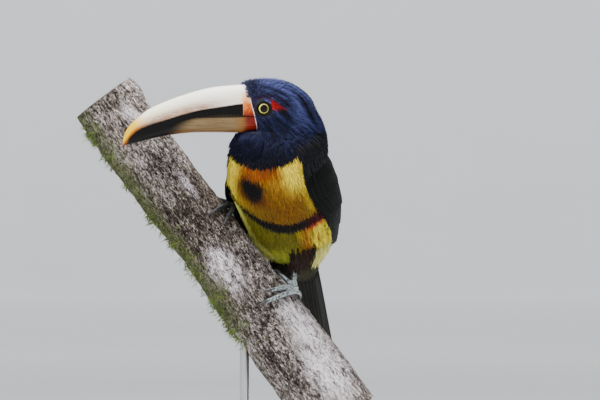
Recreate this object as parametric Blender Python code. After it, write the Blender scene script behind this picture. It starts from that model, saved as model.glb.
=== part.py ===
"""A life-size pale-mandibled aracari, a small toucan, on a cut length of branch and a display stand.

Run it with blender --background --python part.py, or from Blender's text editor. Metres, +Z up.
The origin is the middle of the stand's underside. +X is the right hand of somebody who faces the
bird, and -Y points to them. The bird looks over its right shoulder, so its bill points to -X.
"""

import math

import bmesh
import bpy
import numpy as np
from mathutils import Matrix, Vector

MM = 0.001
UP = Vector((0, 0, 1))
FRONT = Vector((0, -1, 0))


def heading(yaw, pitch):
    """The unit vector turned yaw degrees from -Y towards -X, and lifted pitch degrees."""
    yaw, pitch = math.radians(yaw), math.radians(pitch)
    return Vector((-math.sin(yaw) * math.cos(pitch), -math.cos(yaw) * math.cos(pitch), math.sin(pitch)))


# ---------------------------------------------------------------- driving dimensions
GAP = 0.3 * MM  # between two pieces that meet

TRUNK_CENTRE = Vector((21, 2, 247)) * MM
ALONG = heading(30, 61)  # from the tail to the neck
SIDE = UP.cross(heading(30, 0))  # the bird's left
BACK = ALONG.cross(SIDE)

HEAD_CENTRE = Vector((12, -21.5, 324.5)) * MM
HEAD_FORWARD = heading(78, 0)
HEAD_LEFT = UP.cross(HEAD_FORWARD)

BILL_BASE = Vector((-10, -28.7, 322.6)) * MM
BILL_SLANT = 0.27  # how far the rim leans forward for each unit of height
BILL_HALF_WIDTH = 13.5 * MM
EYE_RADIUS = 6.0 * MM
EYE_FROM_BILL = (-8 * MM, 0.4 * MM)  # forward and up from the middle of the bill's base
EYE_STANDS_OUT = 1.3 * MM

PERCH_MIDDLE = Vector((-60, 0, 230.2)) * MM
PERCH_SLOPE = 53  # degrees below the horizon, towards +X
PERCH_DOWN = Vector((math.cos(math.radians(PERCH_SLOPE)), 0, -math.sin(math.radians(PERCH_SLOPE))))
PERCH_TOP = FRONT.cross(PERCH_DOWN)  # out of its upper side
PERCH_ENDS = (-128 * MM, 216 * MM)  # upper and lower cut, from its middle
PERCH_RADII = (26.6 * MM, 32.6 * MM)

BASE_SIZE = Vector((230, 150, 16)) * MM
BASE_CORNER = 26 * MM
ROD_RADIUS = 4 * MM
ROD_PLACES = (-15 * MM, 30 * MM)  # along X
ROD_INSIDE_BASE = 9 * MM
ROD_INSIDE_PERCH = 15 * MM


# ---------------------------------------------------------------- materials
def material(name, colour, roughness, metallic=0.0):
    made = bpy.data.materials.new(name)
    made.use_nodes = True
    shader = made.node_tree.nodes["Principled BSDF"]
    shader.inputs["Base Color"].default_value = (*colour, 1)
    shader.inputs["Roughness"].default_value = roughness
    shader.inputs["Metallic"].default_value = metallic
    made.diffuse_color = (*colour, 1)
    return made


for old in list(bpy.data.objects):
    bpy.data.objects.remove(old)

HOOD_BLACK = material("hood_black", (0.015, 0.017, 0.035), 0.45)
BREAST_YELLOW = material("breast_yellow", (0.72, 0.46, 0.05), 0.7)
WING_BLACK = material("wing_black", (0.012, 0.016, 0.014), 0.5)
THIGH_BROWN = material("thigh_brown", (0.05, 0.022, 0.015), 0.7)
BILL_IVORY = material("bill_ivory", (0.82, 0.66, 0.40), 0.35)
EYE_YELLOW = material("eye_yellow", (0.75, 0.62, 0.08), 0.1)
FOOT_GREY = material("foot_grey", (0.26, 0.30, 0.29), 0.5)
CLAW_BLACK = material("claw_black", (0.03, 0.03, 0.035), 0.35)
BARK = material("bark", (0.27, 0.21, 0.16), 0.9)
BASE_WOOD = material("base_wood", (0.10, 0.055, 0.03), 0.4)
ROD_STEEL = material("rod_steel", (0.45, 0.45, 0.46), 0.3, 1.0)


# ---------------------------------------------------------------- making meshes
def add_object(name, bm, look):
    """Makes the bmesh an object of that name, with its faces pointing out."""
    bmesh.ops.recalc_face_normals(bm, faces=bm.faces)
    mesh = bpy.data.meshes.new(name)
    bm.to_mesh(mesh)
    bm.free()
    mesh.materials.append(look)
    mesh.shade_smooth()
    mesh.set_sharp_from_angle(angle=math.radians(50))
    made = bpy.data.objects.new(name, mesh)
    bpy.context.scene.collection.objects.link(made)
    return made


def helper(name, bm):
    """A cutter, or a form that is only joined to another."""
    made = add_object(name, bm, WING_BLACK)
    made.hide_render = True
    made.display_type = "WIRE"
    return made


def loft(rings, first=None, last=None):
    """A closed skin over rings of points. A ring's end is a flat cap, or runs to the pole given."""
    bm = bmesh.new()
    loops = [[bm.verts.new(point) for point in ring] for ring in rings]
    for low, high in zip(loops, loops[1:]):
        for i, vert in enumerate(low):
            j = (i + 1) % len(low)
            bm.faces.new((vert, low[j], high[j], high[i]))
    for loop, pole in ((loops[0], first), (loops[-1], last)):
        if pole is None:
            bm.faces.new(loop)
            continue
        tip = bm.verts.new(pole)
        for i, vert in enumerate(loop):
            bm.faces.new((vert, loop[(i + 1) % len(loop)], tip))
    return bm


def boolean(target, other, operation="DIFFERENCE"):
    """Cuts target by other, or joins it to it, and bakes the result in."""
    modifier = target.modifiers.new(operation.lower(), "BOOLEAN")
    modifier.operation = operation
    modifier.object = other
    graph = bpy.context.evaluated_depsgraph_get()
    result = bpy.data.meshes.new_from_object(target.evaluated_get(graph))
    target.modifiers.clear()
    target.data = result


def smooth_curve(points, count):
    """count points on a Catmull-Rom curve through points, evenly spaced by its parameter."""
    points = [Vector(p) for p in points]
    ends = [2 * points[0] - points[1], *points, 2 * points[-1] - points[-2]]
    curve = []
    for k in range(count):
        place = k / (count - 1) * (len(points) - 1)
        i = min(int(place), len(points) - 2)
        t = place - i
        a, b, c, d = ends[i : i + 4]
        square, cube = 2 * a - 5 * b + 4 * c - d, 3 * b - a - 3 * c + d
        curve.append(0.5 * (2 * b + (c - a) * t + square * t**2 + cube * t**3))
    return curve


def circle(centre, axis, radius, count, start=None):
    """A ring of count points round axis, the first of them towards start."""
    axis = axis.normalized()
    across = (start or (UP if abs(axis.z) < 0.9 else FRONT)).cross(axis).normalized()
    other = axis.cross(across)
    turns = (2 * math.pi * i / count for i in range(count))
    return [centre + (across * math.cos(t) + other * math.sin(t)) * radius for t in turns]


def tube(path, radii, count):
    """A closed round tube along path, with domed ends."""
    rings = []
    for i, centre in enumerate(path):
        along = path[min(i + 1, len(path) - 1)] - path[max(i - 1, 0)]
        rings.append(circle(centre, along, radii[i], count))
    first = path[0] + (path[0] - path[1]).normalized() * radii[0] * 0.6
    last = path[-1] + (path[-1] - path[-2]).normalized() * radii[-1] * 0.6
    return loft(rings, first, last)


def ball(centre, radius, segments=14, rings=9):
    bm = bmesh.new()
    bmesh.ops.create_uvsphere(
        bm, u_segments=segments, v_segments=rings, radius=radius, matrix=Matrix.Translation(centre)
    )
    return bm


# ---------------------------------------------------------------- the body's form
def body_point(along, side, back):
    """A place in the trunk's own axes, in metres from its centre."""
    return TRUNK_CENTRE + ALONG * along + SIDE * side + BACK * back


def ellipsoid(centre, axes, radii):
    return np.array(centre), np.array([list(axis) for axis in axes]), np.array(radii) * MM


BODY_AXES = (ALONG, SIDE, BACK)
HEAD_AXES = (HEAD_FORWARD, HEAD_LEFT, UP)
NECK_CENTRE = Vector((15.5, -17, 285)) * MM
THROAT_CENTRE = Vector((14.5, -21, 304)) * MM
FACE_CENTRE = Vector((-4, -26, 324.5)) * MM
BODY_FORMS = (
    ellipsoid(TRUNK_CENTRE, BODY_AXES, (60, 44, 42)),
    ellipsoid(body_point(24 * MM, 0, -7 * MM), BODY_AXES, (42, 43, 38)),  # breast
    ellipsoid(body_point(-38 * MM, 0, -1 * MM), BODY_AXES, (28, 28, 26)),  # vent
    ellipsoid(NECK_CENTRE, (UP, SIDE, UP.cross(SIDE)), (31, 43, 34)),
    ellipsoid(THROAT_CENTRE, HEAD_AXES, (39, 24.5, 27)),
    ellipsoid(HEAD_CENTRE, HEAD_AXES, (30, 23.5, 22.8)),
    ellipsoid(FACE_CENTRE, HEAD_AXES, (21, 17, 21.8)),
)
FORM_BLEND = 9 * MM
BODY_RINGS, BODY_SEGMENTS = 26, 24
FARTHEST = 90 * MM


def outside_body(points):
    """How far points are outside the body's forms, blended where they meet. Negative is inside."""
    total = None
    for centre, axes, radii in BODY_FORMS:
        local = (points - centre) @ axes.T / radii
        size = np.linalg.norm(local, axis=-1)
        distance = size * (size - 1) / np.maximum(np.linalg.norm(local / radii, axis=-1), 1e-9)
        if total is None:
            total = distance
            continue
        mixed = np.maximum(FORM_BLEND - np.abs(total - distance), 0) / FORM_BLEND
        total = np.minimum(total, distance) - mixed**2 * FORM_BLEND / 4
    return total


def reach(origins, directions):
    """How far it is from origins, inside the body, to its surface along directions."""
    low = np.zeros(len(origins))
    high = np.full(len(origins), FARTHEST)
    for _ in range(24):
        middle = (low + high) / 2
        inside = outside_body(origins + directions * middle[:, None]) < 0
        low, high = np.where(inside, middle, low), np.where(inside, high, middle)
    return low


def surface_from(origin, direction):
    direction = direction.normalized()
    return origin + direction * float(reach(np.array([origin]), np.array([direction]))[0])


def body_mesh(grown=0.0):
    """The feathered head, neck and trunk as one skin, moved out by grown."""
    bottom = surface_from(body_point(-40 * MM, 0, 0), -ALONG)
    top = surface_from(HEAD_CENTRE, UP)
    spine = smooth_curve((bottom, TRUNK_CENTRE, NECK_CENTRE, THROAT_CENTRE, HEAD_CENTRE, top), 101)
    rings = []
    for k in range(1, BODY_RINGS + 1):
        place = 50 * (1 - math.cos(math.pi * k / (BODY_RINGS + 1)))
        i = int(place)
        centre = spine[i].lerp(spine[i + 1], place - i)
        tangent = (spine[i + 1] - spine[i]).normalized()
        across = (SIDE - tangent * SIDE.dot(tangent)).normalized()
        back = tangent.cross(across)
        turns = [2 * math.pi * n / BODY_SEGMENTS for n in range(BODY_SEGMENTS)]
        rays = [across * math.sin(t) - back * math.cos(t) for t in turns]
        lengths = reach(np.array([centre] * len(rays)), np.array(rays))
        rings.append([centre + ray * (float(far) + grown) for ray, far in zip(rays, lengths)])
    bm = loft(rings, bottom - ALONG * grown, top + UP * grown)
    bmesh.ops.triangulate(bm, faces=bm.faces)
    return bm


def keep_side(bm, point, normal):
    """Cuts the mesh at a plane, drops what lies out along normal, and closes the cut."""
    everything = bm.verts[:] + bm.edges[:] + bm.faces[:]
    bmesh.ops.bisect_plane(bm, geom=everything, plane_co=point, plane_no=normal, clear_outer=True)
    bmesh.ops.holes_fill(bm, edges=bm.edges[:], sides=0)


THROAT_HEIGHT = 291 * MM
HOOD_HEIGHT = 274 * MM
RIM_NORMAL = (HEAD_FORWARD - UP * BILL_SLANT).normalized()
CHIN_BELOW_BILL = 19.8 * MM  # under the middle of the bill's base


def bill_space():
    """What the head leaves free for the bill: all that is before its rim and above the chin."""
    bm = bmesh.new()
    bmesh.ops.create_cube(bm, size=160 * MM, matrix=Matrix.Translation(BILL_BASE))
    keep_side(bm, BILL_BASE - RIM_NORMAL * GAP, -RIM_NORMAL)
    keep_side(bm, BILL_BASE - UP * CHIN_BELOW_BILL, -UP)
    return bm


def eye_centre(side):
    """The middle of one eyeball. side is 1 for the left eye and -1 for the right."""
    forward, up = EYE_FROM_BILL
    inside = BILL_BASE + HEAD_FORWARD * forward + UP * up
    outward = HEAD_LEFT * side
    return surface_from(inside, outward) - outward * (EYE_RADIUS - EYE_STANDS_OUT)


def make_body(under_it):
    """Head, neck and trunk, parted by thin cuts. The trunk clears what it sits on."""
    half = GAP / 2
    trunk = body_mesh()
    keep_side(trunk, UP * (HOOD_HEIGHT - half), UP)
    trunk = add_object("trunk", trunk, BREAST_YELLOW)
    for cutter in under_it:
        boolean(trunk, cutter)

    neck = body_mesh()
    keep_side(neck, UP * (THROAT_HEIGHT - half), UP)
    keep_side(neck, UP * (HOOD_HEIGHT + half), -UP)
    add_object("neck", neck, HOOD_BLACK)

    head = body_mesh()
    keep_side(head, UP * (THROAT_HEIGHT + half), -UP)
    head = add_object("head", head, HOOD_BLACK)
    boolean(head, helper("bill_space", bill_space()))
    for side, name in ((1, "left"), (-1, "right")):
        boolean(head, helper("socket_cutter_" + name, ball(eye_centre(side), EYE_RADIUS + GAP)))
        add_object("eye_" + name, ball(eye_centre(side), EYE_RADIUS), EYE_YELLOW)


# ---------------------------------------------------------------- the bill
# Side outlines in millimetres, forward and up from the middle of the bill's base.
CULMEN = ((5.7, 21.2), (17.8, 20.3), (35.3, 18.2), (52.8, 13.5), (70.3, 7.5), (86, 0.6), (97, -7.5))
CULMEN += ((105.3, -15.8), (110.1, -24), (111.4, -31))
GAPE = ((-1.6, -6), (11.7, -5.1), (25, -4.5), (38, -6), (55, -9), (72, -14.3), (88, -21), (97.5, -24.9))
GAPE += ((105.8, -28.4), (108.2, -31))
KEEL = ((-5.2, -19.3), (9.7, -19.4), (27, -19.4), (44, -19.4), (57, -20.1), (70, -21.8), (82, -24.1))
KEEL += ((92, -26.4), (99.5, -28.4), (104, -29.4))
BILL_TIP = (110.2, -36)
BILL_RINGS, BILL_SEGMENTS = 18, 12


def bill_point(forward, up):
    """Outlines are given as seen from the side, so they are no longer than they look."""
    return BILL_BASE + HEAD_FORWARD * (forward * MM) + UP * (up * MM)


def bill_half_width(place):
    """From the base, at 0, to the tip, at 1."""
    return BILL_HALF_WIDTH * (1 - place**2.3) ** 0.75 * (1 - 0.12 * place) + 0.6 * MM


def half_ring(edge, crest, width, squareness):
    """An arch over the cutting edge: from one side up to the crest and down the other."""
    ring = []
    for i in range(BILL_SEGMENTS + 1):
        turn = math.pi * i / BILL_SEGMENTS
        across = math.copysign(abs(math.cos(turn)) ** squareness, math.cos(turn)) * width
        ring.append(edge.lerp(crest, math.sin(turn) ** 0.85) + HEAD_LEFT * across)
    return ring


def make_bill():
    culmen = [bill_point(p.x, p.y) for p in smooth_curve([(*p, 0) for p in CULMEN], BILL_RINGS)]
    gape = [bill_point(p.x, p.y) for p in smooth_curve([(*p, 0) for p in GAPE], BILL_RINGS)]
    keel = [bill_point(p.x, p.y) for p in smooth_curve([(*p, 0) for p in KEEL], BILL_RINGS)]
    upper, lower = [], []
    for i in range(BILL_RINGS):
        width = bill_half_width(i / (BILL_RINGS - 1))
        upper.append(half_ring(gape[i], culmen[i], width, 0.8))
        if i < BILL_RINGS - 1:
            drop = UP * GAP
            lower.append(half_ring(gape[i] - drop, keel[i] - drop, width * 0.93, 0.7))
    add_object("bill_upper", loft(upper, last=bill_point(*BILL_TIP)), BILL_IVORY)
    add_object("bill_lower", loft(lower), BILL_IVORY)


# ---------------------------------------------------------------- the wings and the tail
# Each wing's stations along the trunk in millimetres: place, half width and half depth of the
# feathered outline, and where the wing starts and ends, in degrees round from the belly.
WING_STATIONS = (
    (54, 38, 27, 66, 112),
    (40, 43.5, 37, 58, 142),
    (22, 46.5, 44, 56, 160),
    (4, 47.5, 46.5, 59, 167),
    (-14, 46, 46.5, 67, 171),
    (-30, 40.5, 44, 74, 172),
    (-44, 33.5, 40, 86, 172),
    (-52, 29.5, 36.5, 104, 170),
    (-58, 26.5, 33.5, 126, 168),
    (-63, 24.5, 31.5, 148, 163),
)
RIGHT_WING_OUT = 5.5  # how much further the right wing stands off the flank
WING_ACROSS = 11
WING_THICKNESS = 8 * MM
TAIL_ROOT = body_point(-50 * MM, 0, 0)
TAIL_DIRECTION = heading(24, 65.5) * -1
TAIL_LENGTH = 166 * MM
TAIL_FEATHERS = 5  # on each side
TAIL_HALF_WIDTH = 17 * MM
TAIL_ROWS, TAIL_COLUMNS = 8, 18


def wing_mesh(side):
    """A curved shell over one flank: the outer face, and the inner one under it."""
    rings = []
    for along, width, depth, start, end in WING_STATIONS:
        if side < 0:
            width += RIGHT_WING_OUT * math.exp(-(((along - 8) / 22) ** 2))
        outer, inner = [], []
        for i in range(WING_ACROSS + 1):
            share = i / WING_ACROSS
            turn = math.radians(start + (end - start) * share)
            edge = 0.25 + 0.75 * math.sin(math.pi * share) ** 0.5
            for ring, drop in ((outer, 0), (inner, WING_THICKNESS * edge)):
                across = (width * MM - drop) * math.sin(turn) * side
                ring.append(body_point(along * MM, across, -(depth * MM - drop) * math.cos(turn)))
        rings.append(outer + inner[::-1])
    return loft(rings)


def tail_end(share):
    """How far the tail reaches at share of its half width, with a step at each feather's tip."""
    reach_here = 0
    for feather in range(TAIL_FEATHERS):
        middle = feather / (TAIL_FEATHERS - 0.4)
        offset = (abs(share) - middle) / 0.26
        if abs(offset) <= 1:
            tip = TAIL_LENGTH - (feather**1.6) * 5.2 * MM
            reach_here = max(reach_here, tip - 11 * MM * (1 - math.sqrt(1 - offset**2)))
    return reach_here


def make_tail(cutter):
    """A closed fan, graduated from the long middle feathers to the short outer ones."""
    back = SIDE.cross(TAIL_DIRECTION)
    rings = []
    for row in range(TAIL_ROWS + 1):
        share_along = row / TAIL_ROWS
        top, under = [], []
        for column in range(TAIL_COLUMNS + 1):
            share = (2 * column / TAIL_COLUMNS - 1) * 0.97
            far = tail_end(share) * share_along
            width = TAIL_HALF_WIDTH * (0.92 + 0.08 * min(1, far / (90 * MM)))
            camber = -3.5 * MM * share**2
            root = 5.5 * MM * (1 - min(1, far / (70 * MM))) ** 1.5  # thick with coverts there
            half = (root + 1.1 * MM * (1 - 0.45 * share_along)) * (1 - 0.6 * share**2)
            place = TAIL_ROOT + TAIL_DIRECTION * far + SIDE * (share * width) + back * camber
            top.append(place + back * half)
            under.append(place - back * half)
        rings.append(top + under[::-1])
    tail = add_object("tail", loft(rings), WING_BLACK)
    boolean(tail, cutter)


def make_wings(cutters):
    for side, name in ((1, "wing_left"), (-1, "wing_right")):
        wing = add_object(name, wing_mesh(side), WING_BLACK)
        for cutter in cutters:
            boolean(wing, cutter)


# ---------------------------------------------------------------- the perch
# Long swellings of the bark: depth in millimetres, lobes round the branch, waves along it, phase.
BARK_RELIEF = ((0.9, 2, 1.5, 0.4), (0.6, 3, -2.5, 1.9), (0.45, 5, 4.0, 3.1), (0.3, 7, -6.5, 5.0))
KNOT = (-118 * MM, 4.5 * MM, 14 * MM)  # a swelling of the upper side: its place, height and spread
PERCH_RINGS, PERCH_SEGMENTS = 19, 22


def perch_radius(along, angle):
    """The branch's radius at a place along it and an angle round it, from its upper side."""
    share = (along - PERCH_ENDS[0]) / (PERCH_ENDS[1] - PERCH_ENDS[0])
    radius = PERCH_RADII[0] + (PERCH_RADII[1] - PERCH_RADII[0]) * share
    place, depth, spread = KNOT
    radius += depth * math.exp(-(((along - place) / spread) ** 2)) * max(0, math.cos(angle)) ** 2
    for depth, lobes, waves, phase in BARK_RELIEF:
        radius += depth * MM * math.sin(lobes * angle + waves * share * 2 * math.pi + phase)
    return radius


def perch_point(along, angle, above=0.0):
    """A place on the bark, or above it. The angle runs from the upper side towards the front."""
    outward = PERCH_TOP * math.cos(angle) + FRONT * math.sin(angle)
    return PERCH_MIDDLE + PERCH_DOWN * along + outward * (perch_radius(along, angle) + above)


def perch_underside(x):
    """How high the branch's underside is above a place on the base."""
    along = (x - PERCH_MIDDLE.x) / PERCH_DOWN.x
    centre = PERCH_MIDDLE.z + PERCH_DOWN.z * along
    return centre - perch_radius(along, math.pi) / PERCH_DOWN.x


def rod_mesh(x, low, high, radius):
    path = [Vector((x, PERCH_MIDDLE.y, low)), Vector((x, PERCH_MIDDLE.y, high))]
    return loft([circle(point, UP, radius, 20, FRONT) for point in path])


def perch_mesh(above=0.0):
    rings = []
    for k in range(PERCH_RINGS + 1):
        along = PERCH_ENDS[0] + (PERCH_ENDS[1] - PERCH_ENDS[0]) * k / PERCH_RINGS
        turns = (2 * math.pi * i / PERCH_SEGMENTS for i in range(PERCH_SEGMENTS))
        rings.append([perch_point(along, turn, above) for turn in turns])
    return loft(rings)


def make_perch_and_stand():
    perch = add_object("perch", perch_mesh(), BARK)

    slab = bmesh.new()
    bmesh.ops.create_cube(slab, size=1, matrix=Matrix.Diagonal((*BASE_SIZE, 1)))
    bmesh.ops.translate(slab, verts=slab.verts, vec=UP * (BASE_SIZE.z / 2))
    upright = [e for e in slab.edges if abs(e.verts[0].co.z - e.verts[1].co.z) > BASE_SIZE.z / 2]
    bmesh.ops.bevel(slab, geom=upright, offset=BASE_CORNER, segments=5, profile=0.5, affect="EDGES")
    rim = [e for e in slab.edges if all(v.co.z > BASE_SIZE.z * 0.9 for v in e.verts)]
    bmesh.ops.bevel(slab, geom=rim, offset=3 * MM, segments=2, profile=0.5, affect="EDGES")
    base = add_object("stand_base", slab, BASE_WOOD)

    for x, name in zip(ROD_PLACES, ("stand_rod_high", "stand_rod_low")):
        low, high = BASE_SIZE.z - ROD_INSIDE_BASE, perch_underside(x) + ROD_INSIDE_PERCH
        hole = helper(name + "_hole_cutter", rod_mesh(x, low - GAP, high + GAP, ROD_RADIUS + GAP))
        boolean(base, hole)
        boolean(perch, hole)
        add_object(name, rod_mesh(x, low, high, ROD_RADIUS), ROD_STEEL)


# ---------------------------------------------------------------- the legs and the feet
# For each leg, in the trunk's axes: where the thigh starts, and the heel.
LEGS = {
    "left": (body_point(-34 * MM, 17 * MM, -21 * MM), body_point(-53 * MM, 5 * MM, -25 * MM)),
    "right": (body_point(-28 * MM, -18 * MM, -14 * MM), body_point(-22 * MM, -40 * MM, -16 * MM)),
}
# Where the toes meet: place along the perch in millimetres, and degrees round it to the front.
FOOT_PLACES = {"left": (101.5, 12), "right": (12, 2)}
# Each toe: its heading on the bark, in degrees from the way round to the front towards the perch's
# lower end, its length without the claw, and its start along the perch, in millimetres.
TOES = {
    "left": (
        ("inner_front", -19, 29, -2.2),
        ("outer_front", -13, 38, 2.2),
        ("hallux", -125, 18, -2.5),
        ("outer_back", 160, 30, 2),
    ),
    "right": (
        ("inner_front", 12, 20, 2.2),
        ("outer_front", -6, 26, -2.2),
        ("hallux", 176, 15, 2),
        ("outer_back", -152, 29, -2),
    ),
}
TOE_STEPS = 5
TOE_RADIUS = 2.5 * MM
TOE_TAPER = 0.055  # the share of its radius that a toe loses with each step
CLAW_LENGTH = 9 * MM
CLAW_RADII = (1.5, 1.25, 0.85, 0.4)
THIGH_RADII = (13, 12, 9.5, 6.5, 4.2)
SHANK_RADIUS = 2.7 * MM
SHANK_WIDTHS = ((0, 1), (0.5, 0.85), (1, 1))  # places along it, and the share of its radius
TOE_CLEARANCE = 0.6 * MM


def toe_path(foot, turn, length, start):
    """Points along the middle of one toe, laid round the bark, and the claw's points beyond it."""
    along, degrees = FOOT_PLACES[foot]
    radius = perch_radius(along * MM, 0) + TOE_RADIUS
    knuckles, claw = [], []
    for k in range(TOE_STEPS + 4):
        beyond = max(0, k - TOE_STEPS) / 3
        gone = length * MM * min(1, k / TOE_STEPS) + CLAW_LENGTH * beyond
        angle = math.radians(degrees) + math.cos(math.radians(turn)) * gone / radius
        place = (along + start) * MM + math.sin(math.radians(turn)) * gone
        lift = TOE_CLEARANCE + TOE_RADIUS * (1 - TOE_TAPER * min(k, TOE_STEPS))
        if k <= TOE_STEPS:
            knuckles.append(perch_point(place, angle, lift))
        if k >= TOE_STEPS:
            arch = 1.6 * MM * math.sin(math.pi * beyond) - 1.2 * MM * beyond**2
            claw.append(perch_point(place, angle, lift + arch))
    return knuckles, claw


def foot_middle(foot):
    along, degrees = FOOT_PLACES[foot]
    return perch_point(along * MM, math.radians(degrees), TOE_CLEARANCE + TOE_RADIUS * 1.25)


def foot_mesh_parts(foot, grown=0.0):
    """The ball of the foot and its four toes, moved out by grown. Two toes point each way."""
    yield "ball", ball(foot_middle(foot), TOE_RADIUS * 1.45 + grown, 12, 8)
    for name, *path in TOES[foot]:
        knuckles, _ = toe_path(foot, *path)
        radii = [TOE_RADIUS * (1 - TOE_TAPER * k) + grown for k in range(len(knuckles))]
        yield name, tube(knuckles, radii, 7)


def foot_cutters(foot):
    return [helper(f"{name}_{foot}_cutter", bm) for name, bm in foot_mesh_parts(foot, GAP)]


def make_claw(foot, name, path, bed):
    """One claw, that goes on from its toe's tip and hooks down to the bark."""
    knuckles, points = toe_path(foot, *path)
    outward = (knuckles[-1] - knuckles[-2]).normalized()
    points = [p + outward * (TOE_RADIUS * 0.35) for p in points]
    rings = []
    for i, (point, radius) in enumerate(zip(points, CLAW_RADII)):
        along = points[min(i + 1, 3)] - points[max(i - 1, 0)]
        rings.append(circle(point, along, radius * MM, 7))
    tip = points[-1] + (points[-1] - points[-2]).normalized() * (0.7 * MM)
    boolean(add_object(f"claw_{foot}_{name}", loft(rings, last=tip), CLAW_BLACK), bed)


def make_foot(foot, cutters):
    (_, first), *others = foot_mesh_parts(foot)
    whole = add_object("foot_" + foot, first, FOOT_GREY)
    for name, bm in others:
        boolean(whole, helper(f"toe_{foot}_{name}", bm), "UNION")
    for (name, *path), bed in zip(TOES[foot], cutters[1:]):
        make_claw(foot, name, path, bed)


def thigh_mesh(leg, grown=0.0):
    hip, heel = LEGS[leg]
    return tube([hip.lerp(heel, k / 4) for k in range(5)], [r * MM + grown for r in THIGH_RADII], 16)


def shank_mesh(leg, grown=0.0):
    heel, middle = LEGS[leg][1], foot_middle(leg)
    along = middle - heel
    return loft([circle(heel.lerp(middle, t), along, SHANK_RADIUS * w + grown, 10) for t, w in SHANK_WIDTHS])


def leg_cutters(leg):
    thigh, shank = thigh_mesh(leg, GAP), shank_mesh(leg, GAP)
    return [helper(f"thigh_{leg}_cutter", thigh), helper(f"shank_{leg}_cutter", shank)]


def make_leg(leg, body_cutter, thigh_cutter, foot_cutters):
    thigh = add_object("thigh_" + leg, thigh_mesh(leg), THIGH_BROWN)
    boolean(thigh, body_cutter)
    shank = add_object("tarsus_" + leg, shank_mesh(leg), FOOT_GREY)
    for cutter in (thigh_cutter, body_cutter, *foot_cutters):
        boolean(shank, cutter)


# ---------------------------------------------------------------- the whole model
feet = {foot: foot_cutters(foot) for foot in FOOT_PLACES}
legs = {leg: leg_cutters(leg) for leg in LEGS}
beside_body = [helper("perch_cutter", perch_mesh(GAP)), *feet["right"]]
make_body(beside_body)
make_bill()
body_cutter = helper("body_cutter", body_mesh(GAP * 1.5))
make_wings([body_cutter, *beside_body, *legs["right"]])
make_tail(body_cutter)
make_perch_and_stand()
for leg in LEGS:
    make_foot(leg, feet[leg])
    make_leg(leg, body_cutter, legs[leg][0], feet[leg])
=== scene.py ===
# %% [markdown]
# # A pale-mandibled aracari on its perch
# This lesson dresses a small toucan, life size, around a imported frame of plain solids. The frame
# says where every part is, in metres, with +Z up. The bird's right is towards -X in front, it
# looks over its right shoulder, and -Y points to whoever faces it. First the frame is loaded and
# its box is kept, because nothing that is added may be larger than that.

# %% load the frame
import math

import bmesh
import bpy
import numpy as np
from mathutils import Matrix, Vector, noise
from mathutils.bvhtree import BVHTree


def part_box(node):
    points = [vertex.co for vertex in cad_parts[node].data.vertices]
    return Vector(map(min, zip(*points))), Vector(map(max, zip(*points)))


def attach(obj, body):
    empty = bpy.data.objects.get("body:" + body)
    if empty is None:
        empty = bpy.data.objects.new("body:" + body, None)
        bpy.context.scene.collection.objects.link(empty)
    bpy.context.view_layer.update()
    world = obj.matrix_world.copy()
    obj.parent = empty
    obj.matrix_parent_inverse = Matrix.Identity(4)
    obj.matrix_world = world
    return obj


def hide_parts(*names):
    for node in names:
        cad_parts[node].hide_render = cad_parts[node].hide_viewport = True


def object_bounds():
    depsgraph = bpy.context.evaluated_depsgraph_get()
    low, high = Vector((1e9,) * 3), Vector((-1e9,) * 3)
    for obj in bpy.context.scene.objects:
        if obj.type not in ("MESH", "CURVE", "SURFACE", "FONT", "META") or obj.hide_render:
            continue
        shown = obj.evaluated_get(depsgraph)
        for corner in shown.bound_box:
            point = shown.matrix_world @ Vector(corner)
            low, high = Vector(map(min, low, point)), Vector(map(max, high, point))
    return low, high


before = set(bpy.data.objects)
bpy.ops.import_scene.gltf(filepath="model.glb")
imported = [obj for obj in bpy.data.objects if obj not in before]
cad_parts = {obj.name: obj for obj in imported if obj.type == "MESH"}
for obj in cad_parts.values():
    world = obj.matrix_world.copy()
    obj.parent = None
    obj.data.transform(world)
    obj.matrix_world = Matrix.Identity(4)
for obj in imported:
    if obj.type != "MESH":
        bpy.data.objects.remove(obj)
CAD_LOW, CAD_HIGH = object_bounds()
MM = 0.001
UP = Vector((0, 0, 1))
DOWN = -UP
FRONT = Vector((0, -1, 0))
print("frame:", len(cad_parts), "solids, box", [round(v / MM) for v in CAD_HIGH - CAD_LOW], "mm")

# %% [markdown]
# A bird is easiest to describe in its own axes. The trunk leans, so its long axis runs from the
# tail to the neck, and its back axis points out of its back. The head has axes of its own, because
# it is turned aside. Places on the model come from the boxes of the frame's solids.


# %% the axes of the trunk and the head
def heading(yaw, pitch):
    """The unit vector turned yaw degrees from -Y towards -X, and lifted pitch degrees."""
    yaw, pitch = math.radians(yaw), math.radians(pitch)
    return Vector((-math.sin(yaw) * math.cos(pitch), -math.cos(yaw) * math.cos(pitch), math.sin(pitch)))


ALONG = heading(30, 61)
SIDE = UP.cross(heading(30, 0))
BACK = ALONG.cross(SIDE)
TRUNK = Vector((21, 2, 247)) * MM
HEAD_FORWARD = heading(78, 0)
HEAD_LEFT = UP.cross(HEAD_FORWARD)
BILL_BASE = Vector((-10, -28.7, 322.6)) * MM
RIM_SLANT = 0.27
RIM_NORMAL = (HEAD_FORWARD - UP * RIM_SLANT).normalized()


def body_point(along, side, back):
    """A place in the trunk's own axes, in millimetres from its middle."""
    return TRUNK + (ALONG * along + SIDE * side + BACK * back) * MM


def box_middle(node):
    low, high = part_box(node)
    return (low + high) / 2


EYES = {side: box_middle("eye_" + side) for side in ("left", "right")}
OUTWARD = {"left": HEAD_LEFT, "right": -HEAD_LEFT}
EYE_RADIUS = (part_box("eye_left")[1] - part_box("eye_left")[0]).z / 2
print("eyes at", {side: [round(v / MM, 1) for v in place] for side, place in EYES.items()})

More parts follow.
